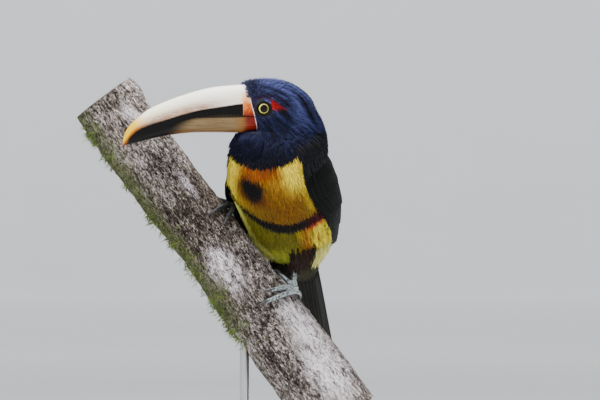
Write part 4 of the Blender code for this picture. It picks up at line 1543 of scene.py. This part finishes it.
def upper_horn():
    look, forward, left, up, streak = horn("upper_horn", 0.34)
    mottle = look.noise(look.vector(forward, left, up), 0.35, detail=4.0)
    above = up - (forward / 60).curve(fitted(STRIPE_TOP, 6))
    stained = above.rise(9, 1.5) * forward.within(30, 90, 14)
    speck = look.noise(look.vector(forward * 0.7, left, up), 1.1, detail=5.0, roughness=0.7).rise(0.54, 0.66)
    at_base = forward.rise(9.5, 7.5)
    rough_edge = (streak - 0.5) * 1.6
    ink = (above + rough_edge).rise(0.7, -0.7) * forward.rise(8.2, 9.0)
    ink = ink * (forward + rough_edge).rise(108, 105)
    colour = look.over(
        IVORY,
        (forward.rise(35, 85) * 0.8, (0.95, 0.87, 0.64)),
        (above.rise(13, 1) * (forward.rise(26, 60) * 0.45 + 0.40), WARM_IVORY),
        (stained * streak.rise(0.30, 0.60), (0.33, 0.20, 0.135)),
        (speck * stained * 0.75, (0.10, 0.045, 0.025)),
        ((forward + up * -0.25).rise(90, 106), look.blend(above.rise(5.5, 1.0), HOOK_YELLOW, HOOK_ORANGE)),
        (forward.rise(13, 6) * up.rise(20, 8), (0.86, 0.40, 0.13)),
        (at_base * up.rise(9.5, 2.5), look.blend(mottle.rise(0.40, 0.60), BASE_ORANGE, (0.60, 0.16, 0.03))),
        (at_base * up.rise(1.0, -6.0), BASE_RED),
        (above.rise(3.4, 0.2) * forward.rise(62, 92) * 0.75, (0.045, 0.018, 0.008)),
        (ink, HORN_BLACK),
    )
    return finished_horn(look, colour, (streak - 0.5) * 0.22 + 1.0 + (mottle - 0.5) * 0.14, streak)


def lower_horn():
    look, forward, left, up, streak = horn("lower_horn", 0.36)
    below_edge = up + 6 + forward * 0.02
    red = look.blend(streak.rise(0.35, 0.62), (0.075, 0.006, 0.004), (0.26, 0.016, 0.008))
    # Painted shade: the lower half's pale horn is given the tan it has in shade.
    colour = look.over(
        SHADED_TAN,
        (streak.rise(0.35, 0.65), (0.215, 0.145, 0.070)),
        (up.rise(-15.5, -19.0) * 0.8, (0.13, 0.060, 0.018)),
        (below_edge.rise(-3.2, 0.0) * 0.6, (0.10, 0.062, 0.032)),
        (forward.rise(17, 8), (0.22, 0.10, 0.025)),
        ((forward + (streak - 0.5) * 6).rise(9.5, 3.5), red),
        (below_edge.rise(-1.2, -0.4) * 0.85, HORN_BLACK),
        ((forward - up * -0.9 + (streak - 0.5) * 10).rise(38, 56), HORN_BLACK),
    )
    return finished_horn(look, colour, (streak - 0.5) * 0.3 + 1.0, streak)


def welt_horn():
    look = Look("bill_welt", roughness=0.4)
    forward, left, up = head_axes(look)
    mottle = look.noise(look.vector(forward, left, up), 0.8)
    colour = look.blend(up.rise(-2, -8), (0.80, 0.74, 0.70), (0.72, 0.50, 0.45))
    return look.finish(base_color=look.scaled(colour, mottle * 0.3 + 0.85))


def tube(path, radii, count, start, first=None, last=None):
    """A round tube along a path: its points and faces."""
    rings = []
    for i, centre in enumerate(path):
        along = (path[min(i + 1, len(path) - 1)] - path[max(i - 1, 0)]).normalized()
        across = start.cross(along).normalized()
        other = along.cross(across)
        turns = [2 * math.pi * n / count for n in range(count)]
        rings.append([centre + (across * math.cos(t) + other * math.sin(t)) * radii[i] for t in turns])
    first = first or path[0] + (path[0] - path[1]).normalized() * radii[0] * 0.6
    last = last or path[-1] + (path[-1] - path[-2]).normalized() * radii[-1] * 0.6
    return loft(rings, first, last)


print("horn looks ready")

# %% the bill's pieces
upper, lower = bill_rings()
for name, rings, tip, look in (
    ("upper", upper, bill_point(*BILL_TIP), upper_horn()), ("lower", lower, None, lower_horn())
):
    inside = [p - HEAD_FORWARD * 5 * MM for p in rings[0]]
    middle = sum(inside, Vector()) / len(inside)
    inside = [p.lerp(middle, 0.12) for p in inside]
    parts = loft([inside, *rings], last=tip)
    made = add_loft(f"bill_{name}_horn", *parts, look, "bill_ivory", ["bill_" + name])
    made.set_sharp_from_angle(angle=math.radians(48))
WELT_LOOK = welt_horn()
for name, line in (("upper", upper[0]), ("lower", lower[0])):
    middle = sum(line, Vector()) / len(line)
    line = [p + (p - middle).normalized() * 0.05 * MM + HEAD_FORWARD * 0.25 * MM for p in line]
    parts = tube(line, [0.4 * MM] * len(line), 8, HEAD_FORWARD)
    add_loft("bill_welt_" + name, *parts, WELT_LOOK, "bill_ivory")

# %% [markdown]
# ## The eyes
# The eye is a glossy ball that bulges a little over the iris. The iris is a thin yellow ring with
# fine spokes, round a wide black pupil, and a dark line where it meets the white, which the lids
# hide.

# %% eyes
PUPIL, IRIS = 3.45, 4.25
EYE_RINGS = 33
BALL = EYE_RADIUS * 0.985


def eye_look(side):
    look = Look("eye_" + side, roughness=0.3, specular_ior_level=0.05, coat_weight=0.12, coat_roughness=0.02)
    forward, up = look.axes(look.place(), EYES[side], HEAD_FORWARD, UP)
    far = (forward**2 + up**2) ** 0.5
    spoke = look.noise(look.vector(forward / far, up / far, far * 0.12), 9.0)
    iris = look.blend(spoke.rise(0.35, 0.65), (0.62, 0.50, 0.05), (0.80, 0.74, 0.20))
    return look.finish(base_color=look.over(
        (0.006, 0.005, 0.004),
        (far.rise(PUPIL - 0.12, PUPIL + 0.12), iris),
        (far.rise(IRIS - 0.25, IRIS + 0.1), (0.01, 0.008, 0.006)),
    ))


for side, eye in EYES.items():
    outward = OUTWARD[side]
    turns = [math.pi * k / EYE_RINGS for k in range(1, EYE_RINGS)]
    bulges = [1 + 0.035 * max(0.0, 1 - turn / math.radians(46)) ** 0.5 for turn in turns]
    path = [eye + outward * math.cos(turn) * BALL * bulge for turn, bulge in zip(turns, bulges)]
    ends = eye + outward * EYE_RADIUS * 1.02, eye - outward * BALL
    parts = tube(path, [math.sin(turn) * BALL for turn in turns], 48, UP, *ends)
    add_loft("eyeball_" + side, *parts, eye_look(side), "eye_yellow", ["eye_" + side])

# %% [markdown]
# ## The perch
# The branch is as thick as a wrist and leans. Its bark is gnarled and fibrous: long swellings, then
# ridges and cracks that run along it, then fine flakes. All of them are moved points, from layered
# noise that is stretched along the branch, and the height of each point is kept for the colour, so
# that cracks are dark and ridges pale. The cut ends show rings.

# %% the perch's form
PERCH_MIDDLE = Vector((-60, 0, 230.2)) * MM
PERCH_SLOPE = math.radians(53)
PERCH_DOWN = Vector((math.cos(PERCH_SLOPE), 0, -math.sin(PERCH_SLOPE)))
PERCH_TOP = FRONT.cross(PERCH_DOWN)
PERCH_ENDS = (-128 * MM, 216 * MM)
PERCH_RADII = (26.6 * MM, 32.6 * MM)
# Each swelling: its depth, how many lobes round the branch, waves along it, and phase.
BARK_SWELLINGS = ((0.9, 2, 1.5, 0.4), (0.6, 3, -2.5, 1.9), (0.45, 5, 4.0, 3.1), (0.3, 7, -6.5, 5.0))
KNOT = (-118 * MM, 4.5 * MM, 14 * MM)
BARK_ROWS, BARK_COLUMNS = 300, 210
BARK_RELIEF = 2.3 * MM
END_RINGS = {0.02: 0.98, 0.3: 0.7, 0.6: 0.4}  # share of the way in, and what the material is told


def perch_radius(along, angle):
    """The branch's radius at a place along it and an angle round it, from its upper side."""
    share = (along - PERCH_ENDS[0]) / (PERCH_ENDS[1] - PERCH_ENDS[0])
    radius = between(PERCH_RADII, share)
    place, depth, spread = KNOT
    radius = radius + depth * np.exp(-(((along - place) / spread) ** 2)) * np.maximum(0, np.cos(angle)) ** 2
    for depth, lobes, waves, phase in BARK_SWELLINGS:
        radius = radius + depth * MM * np.sin(lobes * angle + waves * share * 2 * math.pi + phase)
    return radius


def perch_point(along, angle, above=0.0):
    outward = PERCH_TOP * math.cos(angle) + FRONT * math.sin(angle)
    return PERCH_MIDDLE + PERCH_DOWN * along + outward * (float(perch_radius(along, angle)) + above)


def bark_height(along, angle):
    """How far the bark stands at a place: 0 in its cracks and 1 on its ridges."""
    u, x, y = along / MM, math.cos(angle) * 28, math.sin(angle) * 28
    warp = noise.noise((u * 0.02, x * 0.04, y * 0.04)) * 7
    fibre = noise.fractal((u * 0.07 + warp * 0.12, x * 0.30 + warp * 0.1, y * 0.30), 0.6, 2.1, 4)
    flake = noise.noise((u * 0.16, x * 0.5, y * 0.5 + warp))
    grain = noise.noise((u * 0.35, x * 1.1, y * 1.1))
    ridge = 1 - abs(fibre) * 1.9
    return min(1.0, max(0.0, 0.32 + 0.42 * (ridge - 0.4) + 0.34 * flake + 0.2 * grain))


def cut_end(row, along, inward):
    """Rings of a cut face, from the bark towards its middle, and that middle."""
    centre = PERCH_MIDDLE + PERCH_DOWN * along
    step = PERCH_DOWN * inward * 0.4 * MM
    rings = [[p.lerp(centre, share) + step * (k == 0) for p in row] for k, share in enumerate(END_RINGS)]
    return rings, centre


def make_bark():
    alongs = np.linspace(*PERCH_ENDS, BARK_ROWS)
    angles = np.linspace(0, 2 * math.pi, BARK_COLUMNS, endpoint=False)
    grid, turn = np.meshgrid(alongs, angles, indexing="ij")
    height = np.array([[bark_height(a, t) for t in angles] for a in alongs])
    radius = perch_radius(grid, turn) + (height - 0.5) * BARK_RELIEF
    ring = vec(PERCH_TOP) * np.cos(turn)[..., None] + vec(FRONT) * np.sin(turn)[..., None]
    points = vec(PERCH_MIDDLE) + grid[..., None] * vec(PERCH_DOWN) + ring * radius[..., None]
    rings = [[Vector(p) for p in row] for row in points]
    top, top_middle = cut_end(rings[0], PERCH_ENDS[0], 1)
    foot, foot_middle = cut_end(rings[-1], PERCH_ENDS[1], -1)
    parts = loft(top[::-1] + rings + foot, top_middle, foot_middle)
    mesh = add_loft("perch_bark", *parts, bark_look(), "bark", ["perch"])
    told = list(END_RINGS.values())
    ends = np.repeat([*told[::-1], *[2.0] * BARK_ROWS, *told], BARK_COLUMNS)
    flat = np.zeros(len(told) * BARK_COLUMNS)
    heights = np.concatenate([flat, height.ravel(), flat])
    values = np.stack([heights, ends, np.zeros(len(ends))], axis=1)
    set_attribute(mesh, "bark", np.concatenate([values, np.zeros((2, 3))]))
    mesh.set_sharp_from_angle(angle=math.radians(70))
    set_points(mesh, np.clip(mesh_arrays(mesh)[0], vec(CAD_LOW), vec(CAD_HIGH)))


print("perch:", round((PERCH_ENDS[1] - PERCH_ENDS[0]) / MM), "mm long")

# %% bark material
# Each patch of lichen: its middle along the branch and out of its upper side, and half its size.
LICHENS = ((52, -3, 22, 12), (-24, 14, 13, 4), (132, 20, 32, 12), (172, 14, 36, 16), (-98, 12, 17, 7))


def cut_wood(look, top, front, fine):
    """The rings of the cut faces, darker in the heart and under the bark."""
    far = (top**2 + front**2) ** 0.5
    rings = ((far + look.grain(top * 0.05, front * 0.05, 0.0) * 5) * 1.9).math("SINE") * 0.5 + 0.5
    return look.over(
        (0.15, 0.090, 0.050),
        (rings * 0.75 + fine * 0.25, (0.42, 0.31, 0.19)),
        (far.rise(10, 2) * 0.6, (0.13, 0.075, 0.045)),
        (far.rise(23.5, 26), (0.06, 0.04, 0.03)),
    )


def bark_look():
    """Grey brown bark with dark cracks and pale flecks, darker under the bird, lichen and moss."""
    look = Look("bark", roughness=0.9, specular_ior_level=0.12)
    along, top, front = look.axes(look.place(), PERCH_MIDDLE, PERCH_DOWN, PERCH_TOP, FRONT)
    height, end, _ = look.parts(look.attribute("bark"))
    fine = look.grain(along * 0.30, top * 1.45, front * 1.45, detail=5.0, roughness=0.70)
    fleck = look.grain(along * 0.55, top * 2.3, front * 2.3, detail=2.0)
    broad = look.grain(along * 0.025, top * 0.05, front * 0.05)
    shaded = along.within(-22, 34, 16) * (broad.rise(0.3, 0.6) * 0.5 + 0.5)
    tone = height * 0.50 + (fine - 0.5) * 2.1 + (fleck - 0.5) * 1.2 + (broad - 0.5) * 0.6
    tone = tone - shaded * 0.12 + 0.16
    grey = look.ramp(
        tone, (0.05, (0.008, 0.006, 0.006)), (0.25, (0.055, 0.042, 0.034)), (0.44, (0.22, 0.180, 0.155)),
        (0.60, (0.56, 0.51, 0.49)), (0.80, (0.98, 0.94, 0.94))
    )
    brown = along.within(-30, 40, 22) * 0.5 + broad.rise(0.5, 0.75) * 0.35
    weathered = look.ramp(
        tone, (0.1, (0.012, 0.008, 0.006)), (0.46, (0.140, 0.094, 0.062)), (0.82, (0.60, 0.48, 0.38))
    )
    patch = None
    for place, up, half_along, half_up in LICHENS:
        far = (((along - place) / half_along) ** 2 + ((top - up) / half_up) ** 2) ** 0.5
        patch = far if patch is None else patch.least(far)
    lichen = (patch + (fine - 0.5) * 2.0 + (broad - 0.5)).rise(1.35, 0.45) * front.rise(0, 12)
    pale = look.ramp(
        tone, (0.06, (0.030, 0.022, 0.022)), (0.22, (0.34, 0.27, 0.28)), (0.36, (0.86, 0.78, 0.82)),
        (0.50, (1.0, 0.97, 1.0))
    )
    under = (-top + (broad - 0.5) * 30 + (fine - 0.5) * 22).rise(10, 26) * along.rise(118, 80)
    green = look.ramp(
        fine, (0.36, (0.012, 0.017, 0.005)), (0.54, (0.070, 0.082, 0.024)), (0.68, (0.28, 0.28, 0.13))
    )
    colour = look.over(
        grey,
        (brown * 0.6, weathered),
        (lichen * 0.92, pale),
        (under * 0.88, green),
        (end.rise(1.6, 1.2), cut_wood(look, top, front, fine)),
    )
    return look.finish(base_color=colour, normal=look.bump(tone, 0.0012, 0.8))


make_bark()

# %% [markdown]
# ## The feet
# A toucan's foot has two toes in front and two behind, and grips. The legs and toes are remeshed
# from the frame's solids, finer than the body, and go up into the skin. Their scales are
# called scutes: broad plates across the top of each toe and down the front of the shank, with a
# groove between each two. To lay them, each point finds the nearest toe's middle line, and how far
# along that line it is decides whether it is on a plate or in a groove.

# %% the toes' middle lines
FOOT_PLACES = {"left": (101.5, 12), "right": (12, 2)}  # along the perch, and degrees round it
# Each toe: its heading on the bark in degrees, its length, and its start along the perch.
TOES = {
    "left": {"inner_front": (-19, 29, -2.2), "outer_front": (-13, 38, 2.2),
             "hallux": (-125, 18, -2.5), "outer_back": (160, 30, 2)},
    "right": {"inner_front": (12, 20, 2.2), "outer_front": (-6, 26, -2.2),
              "hallux": (176, 15, 2), "outer_back": (-152, 29, -2)},
}
TOE_RADIUS, CLAW_LENGTH, TOE_CLEARANCE = 2.5, 9, 0.6
HEELS = {"left": body_point(-53, 5, -25), "right": body_point(-22, -40, -16)}
SCUTE_PITCH = 1.55
TOE_STEPS, CLAW_STEPS, CLAW_SEGMENTS = 12, 14, 16


def along_toe(foot, turn, start, gone, lift):
    """A point over the bark, so far along a toe that heads turn degrees, all in millimetres."""
    along, degrees = FOOT_PLACES[foot]
    radius = float(perch_radius(along * MM, 0)) / MM + TOE_RADIUS
    angle = math.radians(degrees) + math.cos(math.radians(turn)) * gone / radius
    return perch_point((along + start + math.sin(math.radians(turn)) * gone) * MM, angle, lift * MM)


def leg_lines():
    """The middle lines of all toes and shanks."""
    lines = []
    for foot, (along, degrees) in FOOT_PLACES.items():
        for turn, length, start in TOES[foot].values():
            shares = [k / TOE_STEPS for k in range(TOE_STEPS + 1)]
            lifts = [TOE_CLEARANCE + TOE_RADIUS * (1 - 0.275 * share) for share in shares]
            lines.append([along_toe(foot, turn, start, length * s, lift) for s, lift in zip(shares, lifts)])
        ball = perch_point(along * MM, math.radians(degrees), (TOE_CLEARANCE + TOE_RADIUS * 1.25) * MM)
        lines.append([HEELS[foot].lerp(ball, t) for t in (0, 0.5, 1)])
    return lines


def scuted(mesh):
    """Cuts the grooves between scutes into the legs' mesh."""
    points, normals = mesh_arrays(mesh)
    points -= normals * SWELL
    nearest, gone = np.full(len(points), 9.0), np.zeros(len(points))
    for line in leg_lines():
        length = 0.0
        for a, b in zip(line, line[1:]):
            share, far = share_of_line(points, a, b)
            here = far < nearest
            nearest[here], gone[here] = far[here], (length + share * (b - a).length)[here]
            length += (b - a).length
    wave = np.abs(((gone / MM / SCUTE_PITCH) % 1) - 0.5) * 2
    groove = smooth_step(wave, 0.72, 1.0)
    outward = unit(across_axis(points - vec(PERCH_MIDDLE), PERCH_DOWN))
    upper = smooth_step(np.sum(normals * outward, axis=1), -0.35, 0.25)
    pads = (1 - upper) * np.abs(np.sin(gone / MM * 0.75)) * 0.22
    set_points(mesh, points + normals * ((-0.26 * groove * upper + pads + 0.06) * MM)[:, None])
    set_attribute(mesh, "scute", np.stack([groove * upper, upper, gone / MM], axis=1))
    return mesh


print(len(leg_lines()), "middle lines of toes and shanks")

# %% [markdown]
# The feet are a cool blue grey with darker grooves, and the toes' sides and undersides are darker
# as painted shade. Each claw is a keeled hook that narrows to a point, laid over the toe's tip and
# down to the bark. The right foot lies in the bird's shade, so it is darker.


# %% feet and claws
def foot_look():
    look = Look("scuted_foot", roughness=0.46, specular_ior_level=0.28)
    groove, upper, _ = look.parts(look.attribute("scute"))
    mottle = look.noise(look.place(), 620, detail=5.0, roughness=0.65)
    along = look.axes(look.place(), PERCH_MIDDLE, PERCH_DOWN)[0]
    colour = look.over(
        (0.042, 0.052, 0.056),
        (mottle.rise(0.40, 0.60), (0.45, 0.50, 0.51)),
        (groove * 0.9, (0.012, 0.015, 0.018)),
        # Painted shade: the toes' sides and undersides, facing away from the light, are darker than their
        # tops.
        (upper.rise(0.8, 0.25) * 0.85, (0.024, 0.027, 0.028)),
    )
    shade = 1 - along.rise(70, 56) * 0.93
    return look.finish(base_color=look.scaled(colour, shade), normal=look.bump(mottle, 0.0003, 0.4))


def claw_look():
    look = Look("claw_horn", roughness=0.32)
    streak = look.noise(look.place(), 1400)
    colour = look.ramp(streak, (0.3, (0.012, 0.012, 0.014)), (0.75, (0.06, 0.06, 0.065)))
    return look.finish(base_color=colour)


def make_claw(foot, name, turn, length, start, look):
    """A hook with a ridge on top, that rises from the toe and comes down to the bark."""
    centres, rings = [], []
    for k in range(CLAW_STEPS + 1):
        share = k / CLAW_STEPS
        lift = TOE_CLEARANCE + TOE_RADIUS * 0.72 + 1.4 * math.sin(math.pi * share) - 2.2 * share**2
        centres.append(along_toe(foot, turn, start, length + 0.2 + CLAW_LENGTH * share, lift))
    for k, centre in enumerate(centres):
        along = (centres[min(k + 1, CLAW_STEPS)] - centres[max(k - 1, 0)]).normalized()
        radius = (1.62 * (1 - (k / CLAW_STEPS)) ** 0.7 + 0.12) * MM
        away = centre - PERCH_MIDDLE
        up = (away - PERCH_DOWN * away.dot(PERCH_DOWN)).normalized()
        up = (up - along * up.dot(along)).normalized()
        across = up.cross(along) * 0.72
        ring = []
        for n in range(CLAW_SEGMENTS):
            cos, sin = math.cos(2 * math.pi * n / CLAW_SEGMENTS), math.sin(2 * math.pi * n / CLAW_SEGMENTS)
            ring.append(centre + (across * cos + up * sin * (1.15 if sin > 0 else 0.85)) * radius)
        rings.append(ring)
    tip = centres[-1] + (centres[-1] - centres[-2]).normalized() * 0.25 * MM
    add_loft(f"claw_horn_{foot}_{name}", *loft(rings, None, tip), look, "claw_black", [f"claw_{foot}_{name}"])


dress("skin_legs", scuted(remeshed(LEGS, 0.55 * MM, 5)), foot_look(), "foot_grey", LEGS)
CLAW_LOOK = claw_look()
for foot, toes in TOES.items():
    for name, toe in toes.items():
        make_claw(foot, name, *toe, CLAW_LOOK)

# %% [markdown]
# ## Moss
# Moss grows on the damp underside of the branch. It is tufts of short curved blades and, here and
# there, a long thin runner that hangs and curls. They are the same three-edged blades as the
# feathers, but they follow curves of their own.

# %% moss
MOSS_TUFTS, MOSS_BLADES, MOSS_RUNNERS = 420, 9, 110


def moss_blades(rng):
    """Middle lines of all blades: tufts first, then runners."""
    lines, widths = [], []
    for _ in range(MOSS_TUFTS):
        along = rng.uniform(-118, 118)
        angle = math.radians(rng.normal(176, 26))
        if math.sin(along * 0.21) + math.sin(along * 0.057 + 2) < rng.uniform(-0.9, 1.9):
            continue
        out = unit(vec(PERCH_TOP) * math.cos(angle) + vec(FRONT) * math.sin(angle))
        root = vec(perch_point(along * MM, angle, -1.6 * MM))
        for _ in range(MOSS_BLADES):
            lean = unit(out + rng.normal(0, 0.55, 3))
            bend = rng.normal(0, 0.5, 3) + (0, 0, -0.2)
            length = rng.uniform(2.0, 5.2)
            start = root + rng.normal(0, 1.5, 3) * MM
            lines.append([start + (lean * t + bend * t * t) * length * MM for t in np.linspace(0, 1, 5)])
            widths.append(rng.uniform(0.35, 0.7))
    for _ in range(MOSS_RUNNERS):
        along, angle = rng.normal(48, 34), math.radians(rng.uniform(105, 190))
        way = unit(vec(PERCH_TOP) * math.cos(angle) + vec(FRONT) * math.sin(angle))
        line = [vec(perch_point(along * MM, angle, -1.0 * MM))]
        curl = rng.normal(0, 0.55, 3)
        for _ in range(4):
            line.append(line[-1] + way * rng.uniform(1.6, 2.8) * MM)
            way = unit(way + curl + (0, 0, -0.35))
        lines.append(line)
        widths.append(0.5)
    return np.array(lines), np.array(widths)


def moss_look():
    look = Look("moss", roughness=0.85, specular_ior_level=0.2)
    return look.finish(base_color=look.ramp(
        look.noise(look.place(), 120), (0.30, (0.035, 0.060, 0.012)), (0.5, (0.12, 0.17, 0.03)),
        (0.68, (0.30, 0.33, 0.09)), (0.8, (0.42, 0.40, 0.20))
    ))


lines, widths = moss_blades(np.random.default_rng(41))
forward = unit(np.gradient(lines, axis=1))
sideways = unit(np.cross(forward, vec(FRONT) + 0.01))
half = (widths[:, None] / 2 * np.array([0.7, 1, 1, 0.75, 0.3])[None] * MM)[:, :, None]
points = blades(lines, sideways, np.cross(sideways, forward), half, half).reshape(-1, 3)
points = np.clip(points, vec(CAD_LOW), vec(CAD_HIGH))
moss = add_piece("moss", points, blade_faces(len(lines), 5), moss_look(), "bark")
set_map(moss.data, unwrapped(points))

# %% [markdown]
# ## The stand
# The frame's own base and rods have the right shape, so they stay and only get better finishes:
# oiled dark wood with grain, and brushed steel.


# %% the stand's finishes
def oiled_wood():
    look = Look("oiled_wood", roughness=0.38, coat_weight=0.25, coat_roughness=0.25)
    x, y, z = look.parts(look.place())
    warp = look.noise(look.place(), 9)
    grain = look.grain(x * 9, y * 150 + warp * 6, z * 150, detail=5.0)
    pore = look.grain(x * 60, y * 900, z * 900, detail=2.0).rise(0.62, 0.72)
    wood = look.ramp(
        grain, (0.3, (0.045, 0.022, 0.012)), (0.5, (0.10, 0.052, 0.027)), (0.7, (0.17, 0.09, 0.045))
    )
    colour = look.over(wood, (pore * 0.6, (0.02, 0.01, 0.006)))
    return look.finish(base_color=colour, normal=look.bump(grain - pore * 0.5, 0.0003, 0.3))


def brushed_steel():
    look = Look("brushed_steel", roughness=0.3, metallic=1.0)
    x, y, z = look.parts(look.place())
    brush = look.grain(x * 400, y * 400, z * 12000, detail=2.0)
    colour = look.ramp(brush, (0.3, (0.42, 0.42, 0.43)), (0.7, (0.52, 0.52, 0.53)))
    return look.finish(base_color=colour, roughness=brush * 0.16 + 0.22)


STEEL = brushed_steel()
for node, finish in (("stand_base", oiled_wood()), ("stand_rod_high", STEEL), ("stand_rod_low", STEEL)):
    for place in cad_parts[node].material_slots:
        place.link, place.material = "OBJECT", finish
print("stand finished")
